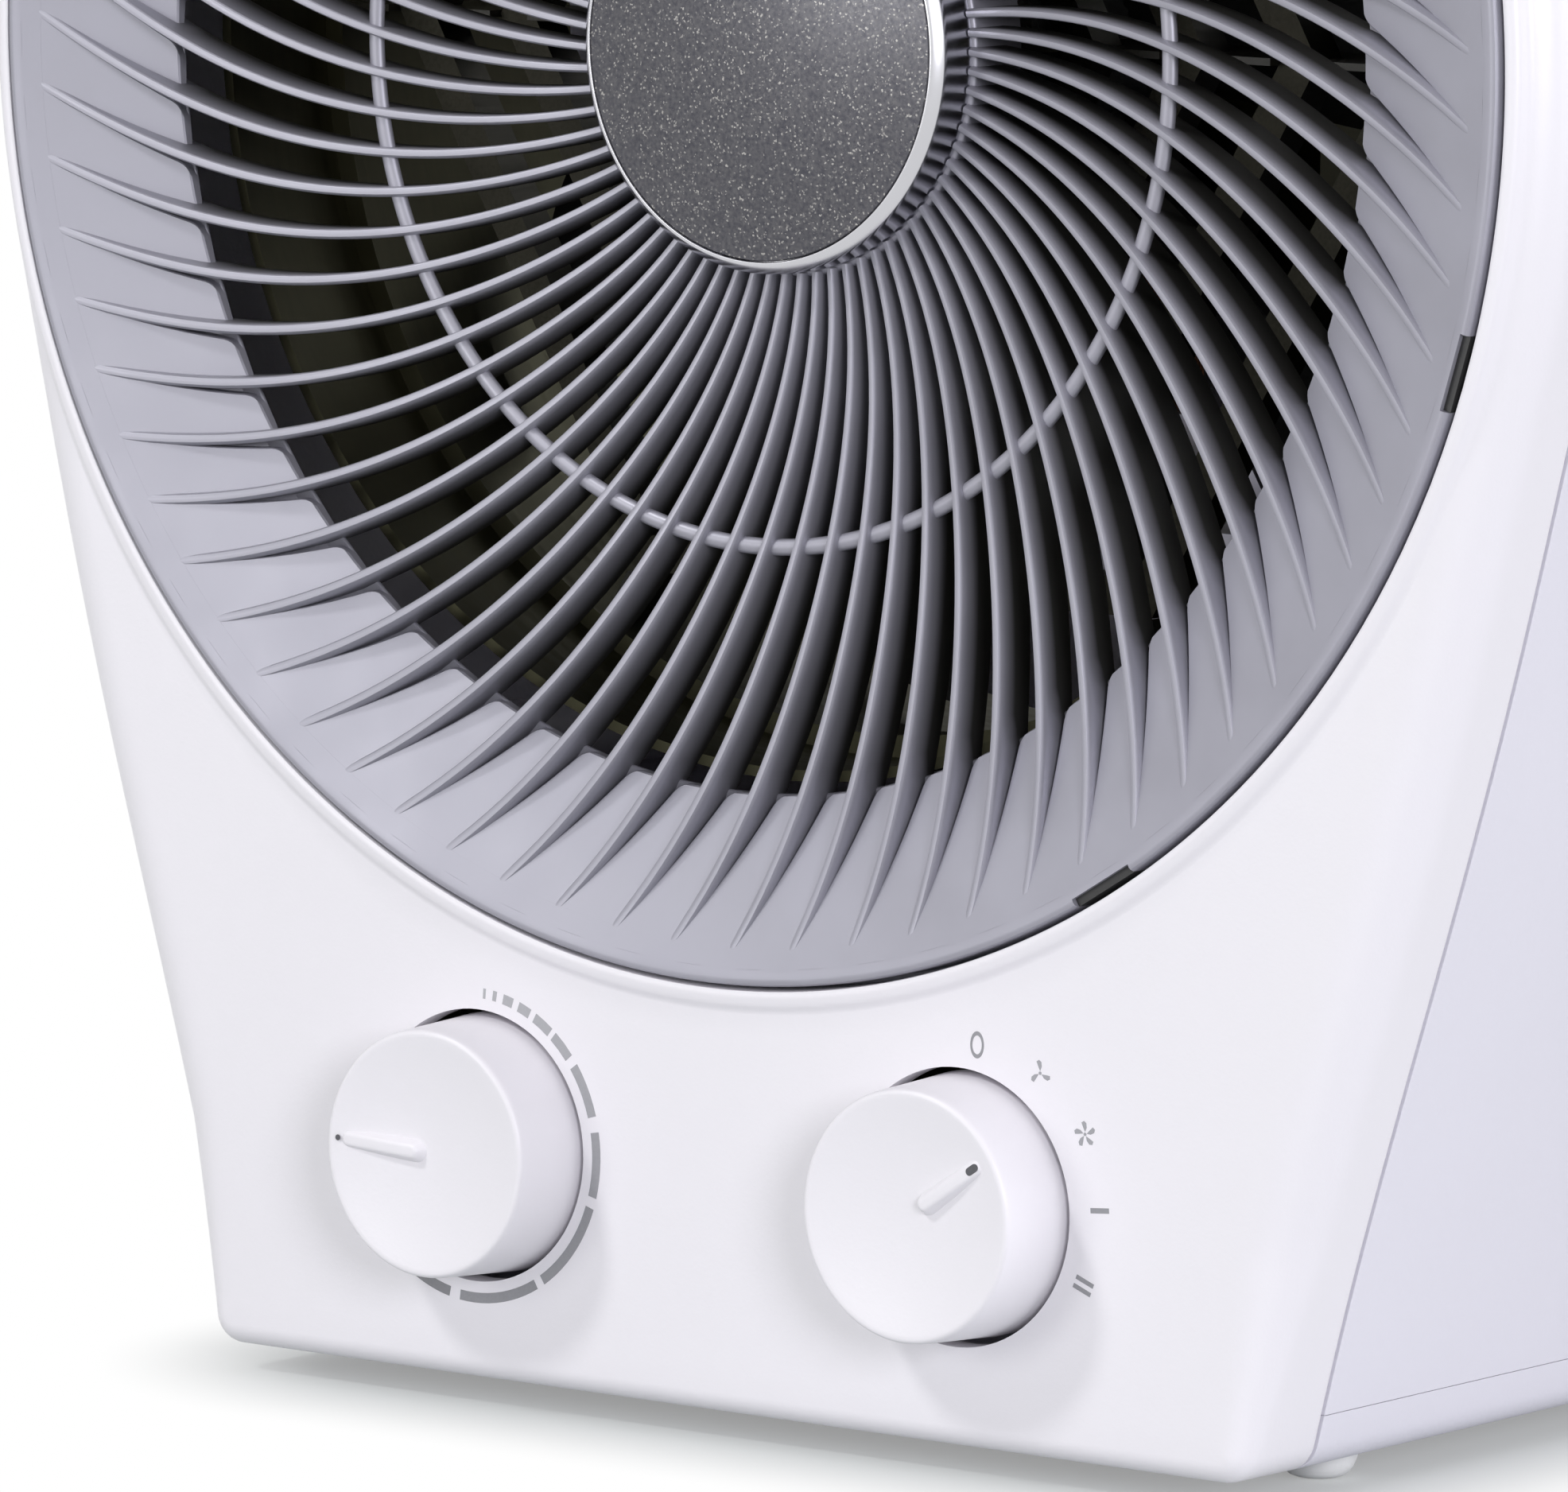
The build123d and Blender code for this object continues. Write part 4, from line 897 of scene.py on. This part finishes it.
# %% Path of a fin
FIN_COUNT = 75
PITCH = 2 * math.pi / FIN_COUNT
FIN_R = [30, 36, 42, 48, 54, 60, 68, 76, 84, 92, 96, 108, 120]
FIN_TURN = [1.5, 0.39, -0.69, -2.04, -3.31, -4.68, -6.98, -8.9, -10.99, -13.3, -14.38, -17.8, -21.3]
EDGE_AT = [30, 36, 45, 54, 60, 68, 76, 84, 92, 96, 120]
EDGE_DEPTH = [13, 12.5, 11, 9, 7.6, 6.3, 4.5, 3.2, 2.4, 2.0, -0.6]
fin_turn = np.polynomial.Polynomial.fit(FIN_R, FIN_TURN, 3)
fin_front = np.polynomial.Polynomial.fit(EDGE_AT, EDGE_DEPTH, 5)
RING_IN, RING_IN_DEPTH = 99.5, 5.2
RING_OUT, RING_OUT_DEPTH = 123.8, -1.7
FIN_START, FIN_END, RUN_OUT = 30.3, 120.9, 106


def cone(radius):
    """Depth of the ring's sloping front at a radius."""
    return RING_IN_DEPTH + (radius - RING_IN) * ((RING_OUT_DEPTH - RING_IN_DEPTH) / (RING_OUT - RING_IN))


def fin_rear(radius):
    """Depth of a fin's rear edge, which sinks into the ring and runs out with it."""
    if radius < RUN_OUT:
        at = (30, 60, 92, 97, 101, RUN_OUT)
        return np.interp(radius, at, (20.5, 13.8, 8.8, 8.2, 8.0, cone(RUN_OUT) + 4.0))
    return cone(radius) + 1.0 + 3.0 * (FIN_END - radius) / (FIN_END - RUN_OUT)


stations = np.linspace(FIN_START, FIN_END, 34)
angles = np.radians(fin_turn(stations))
line = np.stack([stations * np.cos(angles), stations * np.sin(angles)], 1)
along = np.gradient(line, axis=0)
along /= np.linalg.norm(along, axis=1)[:, None]
across = np.stack([-along[:, 1], along[:, 0]], 1)
print("a fin sweeps", round(float(fin_turn(FIN_START) - fin_turn(FIN_END)), 1), "degrees")

# %% Fins
SHOULDER = np.radians((25, 38, 51, 64, 77, 90))
FLANK = 5.0
FIN_THIN, FIN_THICK = 0.82, 1.14
shoulder = [(0.25 + 0.45 * (math.sin(a) - math.sin(SHOULDER[0])) / (1 - math.sin(SHOULDER[0])),
             1.5 * (1 - math.cos(a) / math.cos(SHOULDER[0]))) for a in SHOULDER]
FRONT_EDGE = [(-0.8, 0.62), (-0.74, 0.34), (-0.6, 0.15), (-0.35, 0.03), (-0.05, 0.0), *shoulder]
fin_loops, fin_sunk = [], []
for k, radius in enumerate(stations):
    front, rear = fin_front(radius), fin_rear(radius)
    swell = FIN_THIN + (FIN_THICK - FIN_THIN) * (radius - FIN_R[0]) / (FIN_R[-1] - FIN_R[0])
    flank = min(front + FLANK, rear - 0.2)
    profile = [(u * swell, min(front + d * swell, rear - 0.3)) for u, d in FRONT_EDGE]
    profile += [(0.72 * swell, flank), (0.75 * swell, rear), (-0.85 * swell, rear), (-0.82 * swell, flank)]
    # Sunk depths feed the painted shade of the grille paint; from the ring on only a quarter counts, so the
    # painted shade there stays lighter.
    painted_shade_share = float(np.interp(radius, (97, 104), (1.0, 0.25)))
    fin_sunk += [(depth - front) * painted_shade_share for u, depth in profile]
    places = [(*(line[k] + across[k] * u), depth) for u, depth in profile]
    fin_loops.append(np.array([(x * MM, depth * MM, z * MM) for x, z, depth in places]))
centre = spot(0, 0, 0)
swirl = {"Count": FIN_COUNT, "Step": PITCH, "Centre": centre, "Finish": grille_grey}
fins = grown("grille_fins", *stacked(fin_loops), round_axle, swirl, "grey_plastic", fin_sunk)
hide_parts("front_grille")
print("fins:", len(fins.data.polygons), "faces")

# %% [markdown]
# ## The blades of the ring
#
# Between two fins lies a flat blade of the coned ring. It touches the upper fin, while a narrow slot
# that closes towards the rim parts it from the lower one. Slots could be cut out of a cone, 75 times;
# drawing one blade and copying it is far lighter. A hair's breadth keeps neighbours from merging.

# %% Blades
TIP_R = 119.6
CORNER_R = 1.3
SLOT = 1.75
SLOT_DEPTH = 3.6
HAIR = 4e-5
BEVEL = 0.2
REACHES = (0.0, 0.18, 0.45, 0.8, CORNER_R, 3.0, 6.0, 9.0, 12.0, 15.0, 18.0, TIP_R - RING_IN, 22.9)
blade_loops = []
for reach in REACHES:
    radius = RING_IN + reach
    fade = max(1 - reach / (TIP_R - RING_IN), 0.0)
    round_off = max(1 - reach / CORNER_R, 0.0)
    gap = SLOT * fade + CORNER_R * (1 - math.sqrt(1 - round_off ** 2))
    first = math.radians(fin_turn(radius)) + HAIR
    low, high = first + gap / (0.9 * radius), first + PITCH - 2 * HAIR
    front = cone(radius) + (0.25 if reach == 0 else 0.0)
    bottom = front + SLOT_DEPTH * fade * min(0.3 + reach / 6.0, 1.0)
    bevel = BEVEL * min(4 * fade, 1.0)
    step = bevel / radius
    section = [(first, bottom + 0.4), (first, bottom), (low, bottom), (low, min(front + bevel, bottom)),
               (low + step, front), (low + 2 * step, front), ((low + high) / 2, front), (high, front),
               (high, front + 1.0)]
    blade_loops.append(np.array([(radius * math.cos(a), d, radius * math.sin(a)) for a, d in section]) * MM)
blades = grown("grille_blades", *stacked(blade_loops), round_axle, swirl, "grey_plastic")
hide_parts("front_grille")
print("blades:", len(blades.data.polygons), "faces")

# %% [markdown]
# ## Rim, stay and hub of the grille
#
# A round rim closes the grille and snaps into the panel, with clip slots in its outer edge on the
# right that look dark. They could be painted on; here they are cut, and a black block in each is
# painted shade for the dark inside of the slot. Half way a round stay ties the fins together, and a
# hub ring carries the cap; both are turned.

# %% Rim with its clip slots
CLIPS = 4
FIRST_CLIP = math.radians(67.5)
CLIP_STEP = math.radians(42.0)
CLIP_SLOT = ((123.35, 126), (-3, 5), (-5.2, 5.2))
RIM = [(119.5, 2.4), (119.5, cone(119.5) - 0.02), (122.4, cone(122.4) - 0.02), (122.8, cone(122.8) - 0.02),
       (123.5, -1.55), (123.95, -1.6), (124.3, -1.45), (124.52, -1.1), (124.6, -0.6), (124.6, 0.2),
       (124.6, COLLAR), (127.2, COLLAR), (127.2, 11.0), (122.3, 11.0), (122.3, 2.6)]
ring = rough("grille_ring", *turned(RIM, count=300))
clip_turns = [FIRST_CLIP - CLIP_STEP * k for k in range(CLIPS)]
carve(ring, [brick(*CLIP_SLOT, turn) for turn in clip_turns])
dress(ring, grille_grey, "casing")
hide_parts("front_grille")
print("rim:", len(ring.data.polygons), "faces with", CLIPS, "slots")

# %% Stay and hub
STAY_R = 66.6
STAY_DEPTH = 8.2
STAY_HALF = (1.15, 0.85)
stay = [(STAY_R + STAY_HALF[0] * math.cos(a), STAY_DEPTH + STAY_HALF[1] * math.sin(a))
        for a in np.linspace(0, 2 * math.pi, 12, endpoint=False)]
stay_ring = piece("grille_stay", *turned(stay, count=300), grille_grey, "casing", "grey_plastic", 50.0)
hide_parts("front_grille")
hub = [(25.0, 24.0), (25.0, 14.0), (30.2, 14.0), (30.6, 14.15), (30.8, 14.6), (30.8, 24.0)]
hub_ring = piece("grille_hub", *turned(hub), grille_grey, "casing", "grey_plastic", 50.0)
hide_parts("front_grille")
print("stay:", len(stay_ring.data.polygons), "faces, hub:", len(hub_ring.data.polygons), "faces")

# %% Blocks of painted shade in the clip slots
# Painted shade: black blocks fill the dark inside of the clip slots.
SLOT_SHADE_BLOCK = ((123.3, 124.5), (-0.75, 6.0), (-5.15, 5.15))
clip = np.array(block(*SLOT_SHADE_BLOCK, FIRST_CLIP)) * MM
slot_shading = {"Count": CLIPS, "Step": CLIP_STEP, "Centre": centre, "Finish": black_plastic}
slot_shade_blocks = grown("grille_slot_shade_blocks", clip, BOX_FACES, round_axle, slot_shading, "grey_plastic")
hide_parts("front_grille")
print("clips:", len(slot_shade_blocks.data.polygons), "faces")

# %% [markdown]
# ## Hub cap and disc
#
# In the middle sits a chromed cap with an inlaid disc, both round, so both are turned profiles: a
# bright bevel with a plated wall down to the hub ring, and a disc with a low dome. A flat disc would
# mirror one even patch; the dome gives the slow gradient of the real one.

# %% Hub cap and disc
CAP = [(0, 7.9), (28.5, 7.9), (28.5, 6.85), (28.6, 6.72), (28.8, 6.7), (29.1, 6.85), (30.05, 7.85),
       (30.22, 8.15), (30.25, 8.6), (30.1, 13.95), (28.1, 13.95), (28.1, 9.9), (24.8, 9.9), (24.8, 19.0),
       (22.8, 19.0), (22.8, 9.9), (0, 9.9)]
hub_cap = piece("hub_cap_plated", *turned(CAP, count=256), chrome, "casing", "chrome_trim", 38.0)
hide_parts("hub_cap")

DOME = 1.9
DOME_R = 27.8
disc = [(r, 6.7 - DOME * (1 - (r / DOME_R) ** 2)) for r in np.linspace(0, DOME_R, 9)]
disc += [(28.25, 6.75), (28.4, 6.95), (28.4, 7.9), (0, 7.9)]
hub_disc = piece("hub_disc_lacquered", *turned(disc, count=256), flake, "casing", "silver_disc", 38.0)
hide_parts("hub_disc")
print("hub cap:", len(hub_cap.data.polygons), "faces, disc:", len(hub_disc.data.polygons), "faces")

# %% [markdown]
# ## Knobs
#
# A knob is a cup with a dished face, a soft rim and a raised pointer. The pointer could be joined by
# a Boolean, but two closed skins that overlap look the same and stay clean: a stack of bars with
# round ends, level with the rim, so that it stands highest over the middle of the dish. A dot of ink
# marks its end and rides on the same body.

# %% Shapes of a pointer


def stadium(length, half_width, count=10):
    """Outline of a bar with round ends, from its start along +x."""
    turn = np.linspace(-math.pi / 2, math.pi / 2, count)
    far = np.stack([length - half_width + half_width * np.cos(turn), half_width * np.sin(turn)], 1)
    near = np.stack([half_width - half_width * np.cos(turn), -half_width * np.sin(turn)], 1)
    return np.concatenate([far, near])


def pointing(flat, angle, x, depth, shift=0.0):
    """Front-view loop of a flat shape turned to an angle about a knob's axis."""
    turn = math.radians(angle)
    ahead, side = flat[:, 0] + shift, flat[:, 1]
    return np.stack([x + ahead * math.cos(turn) - side * math.sin(turn), np.full(len(flat), depth),
                     KNOB_Z + ahead * math.sin(turn) + side * math.cos(turn)], 1)


print("a pointer outline has", len(stadium(10.0, 1.0)), "points")

# %% Knobs
DISH, DISH_R = 1.5, 16.2
POINTER_HALF = 1.9
POINTER_STEPS = ((0, -9.3), (0.9, -10.95), (1.05, -11.13), (1.25, -11.23), (1.5, -11.25))
KNOB_RIM = [(16.2, -11.24), (16.5, -11.2), (16.72, -11.05), (16.86, -10.8), (16.94, -10.4), (17.0, -9.6)]
KNOB_CUP = [(17.5, 0.0), (17.8, 4.5), (16.0, 4.5), (15.0, -8.2), (5.5, -8.2), (5.5, 8.0), (0, 8.0)]
DOT_DEPTHS = (-11.2, -11.29)
DOT_TONE = 0.95


def knob(body, x, angle, start, length, dot):
    """Knob with a pointer from a start along a length, and a dot by length, half width and start."""
    dish = [(r, -KNOB_STAND + 0.04 + DISH * (1 - (r / DISH_R) ** 2)) for r in np.linspace(0, 15.8, 12)]
    points, faces = turned(dish + KNOB_RIM + KNOB_CUP, x, KNOB_Z, 160)
    ridge = [pointing(stadium(length - 2 * e, POINTER_HALF - e), angle, x, depth, start + e)
             for e, depth in POINTER_STEPS]
    faces = faces + capped(ridge, len(points))
    made = piece(body + "_knob_moulding", np.concatenate([points, *ridge]), faces, panel_white, body,
                 "white_plastic", 42.0)
    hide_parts(body + "_knob")
    dot_length, dot_half, dot_start = dot
    ends = [pointing(stadium(dot_length, dot_half), angle, x, depth, dot_start) for depth in DOT_DEPTHS]
    tones = [DOT_TONE] * 2 * len(ends[0])
    piece(body + "_pointer_dot", *stacked(ends), ink, body, "white_plastic", tones=tones)
    return made


left_knob = knob("thermostat", -KNOB_X, angle=177.0, start=0.4, length=14.9, dot=(0.8, 0.4, 14.6))
right_knob = knob("selector", KNOB_X, angle=34.0, start=1.6, length=13.7, dot=(2.1, 0.55, 12.1))
print("knobs:", len(left_knob.data.polygons), "and", len(right_knob.data.polygons), "faces")

# %% [markdown]
# ## Printed marks
#
# Grey marks are printed on the panel: dashes that grow round the thermostat, and 0, two fans, I and
# II round the switch. A picture texture would blur close up. Thin slabs of ink stay sharp, and each
# can carry its own `tone`.

# %% Directions on the panel
FAN_BLADE = ((0.16, 0.0), (0.5, -0.14), (0.85, -0.1), (1.0, 0.12), (0.86, 0.34), (0.55, 0.2))
SQUARE = ((-1, -1), (1, -1), (1, 1), (-1, 1))


def compass(angle):
    """Direction at an angle in degrees, and the direction to its left."""
    turn = math.radians(angle)
    return np.array((math.cos(turn), math.sin(turn))), np.array((-math.sin(turn), math.cos(turn)))


print("up is", compass(90)[0].round(3))

# %% Marks round a knob
INK_RISE = 0.03


class Marks:
    """Points, faces and tones of printed marks round one knob."""

    def __init__(self, x):
        self.x = x
        self.points = []
        self.faces = []
        self.tones = []

    def slab(self, flat, tone):
        """One closed slab of ink from an outline relative to the knob's axis."""
        loops = [[(self.x + a, depth, KNOB_Z + b) for a, b in flat] for depth in (-INK_RISE, INK_RISE)]
        self.faces += capped(loops, len(self.points))
        self.points += loops[0] + loops[1]
        self.tones += [tone] * 2 * len(flat)

    def band(self, inner, outer, first, last, tone, at=(0, 0), squeeze=1.0):
        """Piece of a ring between two angles about a point."""
        turn = np.radians(np.linspace(first, last, max(3, int(abs(last - first) / 3))))
        sides = [np.stack([at[0] + squeeze * r * np.cos(turn), at[1] + r * np.sin(turn)], 1)
                 for r in (inner, outer)]
        self.slab(np.concatenate([sides[1], sides[0][::-1]]), tone)

    def bar(self, angle, radius, length, width, tone, shift=0.0):
        """Radial bar centred on a radius."""
        way, side = compass(angle)
        middle = way * radius + side * shift
        self.slab([middle + way * a * length / 2 + side * b * width / 2 for a, b in SQUARE], tone)

    def fan(self, angle, radius, blades, size, tone):
        """Small propeller: blades round a dot."""
        middle = radius * compass(angle)[0]
        for k in range(blades):
            way, side = compass(90 + k * 360 / blades)
            self.slab([middle + size * (way * a + side * b) for a, b in FAN_BLADE], tone)
        self.band(0.0, 0.13 * size, 0, 360, tone, middle)

    def make(self, name):
        return piece(name, self.points, self.faces, ink, "casing", "white_plastic", tones=self.tones)


print("ink stands", INK_RISE, "mm above the panel")

# %% Dashes of the thermostat
DASHES = [(87.2, 86.0), (82.6, 80.8), (77.6, 72.9), (70.0, 64.2), (61.6, 52.8), (50.7, 40.2), (36.4, 16.2),
          (10.4, -14.0), (-18.2, -55.6), (-59.2, -96.6), (-101.5, -180.0)]
DASH_IN, DASH_OUT = 20.2, 21.6
left_marks = Marks(-KNOB_X)
for k, (first, last) in enumerate(DASHES):
    left_marks.band(DASH_IN, DASH_OUT, first, last, 0.38 + 0.3 * (k / (len(DASHES) - 1)) ** 2)
left_print = left_marks.make("thermostat_print")
print("dashes:", len(DASHES), "with", len(left_print.data.polygons), "faces")

# %% Symbols of the switch
SYMBOL_TONE = 0.6
FAN_TONE = 0.5
right_marks = Marks(KNOB_X)
zero_at = 22.15 * compass(81.9)[0]
for first in range(0, 360, 90):
    right_marks.band(1.25, 1.8, first, first + 90, SYMBOL_TONE, at=zero_at, squeeze=0.62)
right_marks.fan(angle=54.9, radius=23.45, blades=3, size=1.75, tone=FAN_TONE)
right_marks.fan(angle=29.5, radius=24.05, blades=5, size=1.75, tone=FAN_TONE)
right_marks.bar(angle=4.8, radius=23.6, length=3.0, width=0.7, tone=SYMBOL_TONE)
for shift in (-0.63, 0.63):
    right_marks.bar(angle=-21.3, radius=22.6, length=3.0, width=0.62, tone=SYMBOL_TONE, shift=shift)
right_print = right_marks.make("selector_print")
print("symbols of the switch:", len(right_print.data.polygons), "faces")

# %% [markdown]
# ## Feet
#
# Four small domed pads are pushed into the tray. A squashed sphere would come close, but a turned
# profile gives the flat sole and the peg as well. Their axes are upright, so their loops lie level.

# %% Feet
FEET = {"foot_front_left": (-76.5, 33.0), "foot_front_right": (76.5, 33.0),
        "foot_rear_left": (-72.0, 118.0), "foot_rear_right": (72.0, 118.0)}
SOLE = BASE - 3.8
PAD = ((2.0, SOLE), (3.0, SOLE + 0.1), (3.8, SOLE + 0.4), (4.4, SOLE + 0.9), (4.9, SOLE + 1.6),
       (5.3, SOLE + 2.6), (5.6, BASE), (3.0, BASE), (3.0, BASE + 2.5))
for node, (x, depth) in FEET.items():
    loops = [level_circle(radius, x, depth, height, 64) for radius, height in PAD]
    pad = piece(node + "_pad", *stacked(loops), foot_white, "casing", "foot_plastic", 40.0)
    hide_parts(node)
print("feet:", len(FEET), "with", len(pad.data.polygons), "faces each")

# %% [markdown]
# ## Rear guard
#
# Air goes in at the back through a round guard of level, sloping slats with two upright ribs. Slots
# could be cut out of a disc, but a slat is a bar that repeats. So a second tree sets one bar on each
# of `Rows` points and stretches it to the chord of the circle at its height.

# %% Slats of the rear guard
in_circle = Copier("slats_in_a_circle", (("Rows", "Int"), ("Pitch", "Float"), ("Radius", "Float")))
middle_row = (in_circle.given("Rows") - 1.0) / 2.0
rise = (in_circle.node("GeometryNodeInputIndex") - middle_row) * in_circle.given("Pitch")
left_over = in_circle.given("Radius") ** 2.0 - rise.math("ABSOLUTE", rise) ** 2.0
chord = left_over.math("SQRT", left_over)
row_place = in_circle.node("ShaderNodeCombineXYZ", None, {"Z": rise})
stretch = in_circle.node("ShaderNodeCombineXYZ", None, {"X": chord, "Y": 1.0, "Z": 1.0})
on_rows = in_circle.node("GeometryNodePoints", None, {"Count": in_circle.given("Rows"), "Position": row_place})
in_circle.copy_to(on_rows, Scale=stretch)

SLOPE = 7.0 / 9.0
SLAT = ((-4.5, -1.2), (-4.5, 1.0), (-4.3, 1.2), (4.2, 1.2), (4.5, 0.9), (4.5, -0.9), (4.2, -1.2))
slat_ends = [np.array([(x, d * MM, (h + d * SLOPE) * MM) for d, h in SLAT]) for x in (-1.0, 1.0)]
GUARD_DEPTH = 135.5
rowing = {"Rows": 17, "Pitch": 10 * MM, "Radius": 87.5 * MM, "Centre": spot(0, GUARD_DEPTH, 0),
          "Finish": casing_white}
slats = grown("rear_guard_slats", *stacked(slat_ends), in_circle, rowing, "grey_plastic")
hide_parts("rear_grille")
print("slats:", len(slats.data.polygons), "faces")

# %% Ring and ribs of the rear guard
GUARD = [(86.0, 139.4), (86.4, 139.9), (87.0, 140.0), (91.2, 140.0), (91.6, 139.8), (91.7, 139.4),
         (91.7, 137.5), (96.5, 137.5), (96.5, GUARD_DEPTH), (86.0, GUARD_DEPTH)]
guard_ring = piece("rear_guard_ring", *turned(GUARD, count=240), casing_white, "casing", "grey_plastic")
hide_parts("rear_grille")
RIB = ((-2, 137.0), (-2, 139.3), (-1.6, 139.6), (1.6, 139.6), (2, 139.3), (2, 137.0))
for side, x in (("left", -30.0), ("right", 30.0)):
    rib_ends = [np.array([(x + u, depth, height) for u, depth in RIB]) for height in (-80.0, 80.0)]
    rib = piece("rear_guard_rib_" + side, *stacked(rib_ends), casing_white, "casing", "grey_plastic")
    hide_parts("rear_grille")
print("guard ring:", len(guard_ring.data.polygons), "faces, rib:", len(rib.data.polygons), "faces")

# %% [markdown]
# ## The inside
#
# Behind the fins a heater has a duct with an impeller and a motor, mica cards with heating wire, and
# behind the knobs a thermostat and a switch. They could be modelled anew, but only dark glimpses of
# them show, so the solids stay as they are and get metal, black plastic, mica and copper.

# %% Materials of the inner solids
INSIDE = {
    black_plastic: ("cord_gland", "impeller", "thermostat_body", "selector_switch", "terminal_block",
                    "motor_bobbin"),
    sheet_steel: ("fan_duct", "motor_bracket", "control_plate", "motor_core", "motor_rotor",
                  "front_bearing_bridge", "rear_bearing_bridge", "heater_band", "thermal_cutout"),
    bright_steel: ("motor_shaft", "impeller_clip", "thermostat_spindle", "selector_spindle", "casing_screws",
                   "plate_screws", "duct_screws", "tray_screws", "motor_screws", "control_nuts"),
    bronze: ("front_bearing", "rear_bearing", "control_terminals", "thermal_fuse"),
    copper_winding: ("motor_winding",),
    mica: ("heater_cards",),
    heating_wire: ("heater_coil_inner", "heater_coil_outer"),
}
for material, nodes in INSIDE.items():
    for node in nodes:
        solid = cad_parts[node]
        solid.data.materials.clear()
        solid.data.materials.append(material)
print("inside:", sum(len(nodes) for nodes in INSIDE.values()), "solids")

# %% [markdown]
# ## The floor
#
# The photograph has a plain white ground with a soft shadow at the base. A shadow catcher would need
# a second picture to lie over. Here the floor is a grey surface near the heater, where it keeps the
# real shadow, and fades to an even white further out; the grey zone round the base is painted shadow
# as well. The Light Path node gives that white only to rays from the camera, in mirrors and through
# glass; other rays see a plain floor.

# %% Rays and distances


def seen_by_camera(graph):
    """One for rays from the camera, in mirrors and through glass."""
    kinds = [graph.node("ShaderNodeLightPath", output=kind)
             for kind in ("Is Camera Ray", "Is Glossy Ray", "Is Transmission Ray")]
    total = kinds[0] + kinds[1] + kinds[2]
    return total.math("MINIMUM", total, 1.0)


def outside(value, limit):
    """How far a wire lies beyond a limit on either side, and nought within."""
    beyond = value.math("ABSOLUTE", value) - limit
    return beyond.math("MAXIMUM", beyond, 0.0)


print("camera, mirrors and glass see the floor in white")

# %% Floor
FLOOR_HALF = 8.0
NEAR_X = 0.058
NEAR_Y, NEAR_MIDDLE = 0.042, 0.008
FADE_FROM, FADE_TO = 0.025, 0.060
SHADOW_SHARE = 0.7

corners = [(x * FLOOR_HALF, y * FLOOR_HALF, 0) for x, y in SQUARE]
floor = placed("floor", corners, [(0, 1, 2, 3)])
# Grey-green base colour: near the heater it darkens the real shadow as painted shadow.
ground = Paint("floor_white", Base_Color=(0.52, 0.55, 0.55, 1), Roughness=0.9)
floor_x, floor_y = (ground.node("ShaderNodeSeparateXYZ", None, {0: ground.coords()}, axis)
                    for axis in ("X", "Y"))
away = (outside(floor_x, NEAR_X) ** 2.0 + outside(floor_y - NEAR_MIDDLE, NEAR_Y) ** 2.0) ** 0.5
# Painted shadow zone round the base, where the camera sees the grey floor; beyond it the floor is white.
near = ground.span(away, FADE_FROM, FADE_TO, SHADOW_SHARE, 0.0, True)
white = ground.node("ShaderNodeEmission", None, {"Strength": 1.0})
surface = Wire(ground, ground.shader.outputs[0])
lit_share = 1.0 - seen_by_camera(ground) * (1.0 - near)
mixed = ground.node("ShaderNodeMixShader", None, {0: lit_share, 1: white, 2: surface})
ground.feed(ground.tree.nodes["Material Output"], {"Surface": mixed})
floor.data.materials.append(ground.material)
print("floor:", 2 * FLOOR_HALF, "m wide,", len(ground.tree.nodes), "nodes")

# %% [markdown]
# ## World and lamps
#
# The heater stands in soft studio light on white. A picture of a studio could light it, but a plain
# world and five round lamps are easier to steer. The world looks white to the camera and gives less
# light than that. Cool lamps on the right and at the side light the panel and the right wall, a small
# key lamp at the upper left draws the shadows of the knobs, and weak ones fill the front and back.

# %% World
SKY_LIGHT = 0.40
world = bpy.data.worlds.new("studio")
scene.world = world
world.use_nodes = True
sky = Graph(world.node_tree)
sky_strength = sky.span(seen_by_camera(sky), 0.0, 1.0, SKY_LIGHT, 1.0)
sky.feed(sky.tree.nodes["Background"], {"Color": (1, 1, 1, 1), "Strength": sky_strength})
print("world gives", SKY_LIGHT, "of what it shows")

# %% Lamps
LOOK_AT = Vector((0, 0, 0.15))
COOL = (0.955, 0.945, 1.0)
NEUTRAL = (1.0, 1.0, 1.0)
LAMPS = {"right": ((1.7, -1.3, 0.6), 0.7, 19.5, COOL), "key": ((-0.7, -1.2, 1.4), 0.3, 10.5, NEUTRAL),
         "front": ((-0.9, -2.0, 0.5), 0.8, 9.0, NEUTRAL), "side": ((2.2, 0.25, 0.4), 1.0, 14.0, COOL),
         "back": ((0.3, 2.2, 1.2), 0.8, 6.0, NEUTRAL)}
for name, (place, size, power, tint) in LAMPS.items():
    light = bpy.data.lights.new(name, "AREA")
    light.shape = "DISK"
    light.size = size
    light.energy = power
    light.color = tint
    lamp = bpy.data.objects.new(name, light)
    scene.collection.objects.link(lamp)
    lamp.location = place
    lamp.rotation_euler = (LOOK_AT - Vector(place)).to_track_quat("-Z", "Y").to_euler()
print("lamps:", ", ".join(LAMPS))
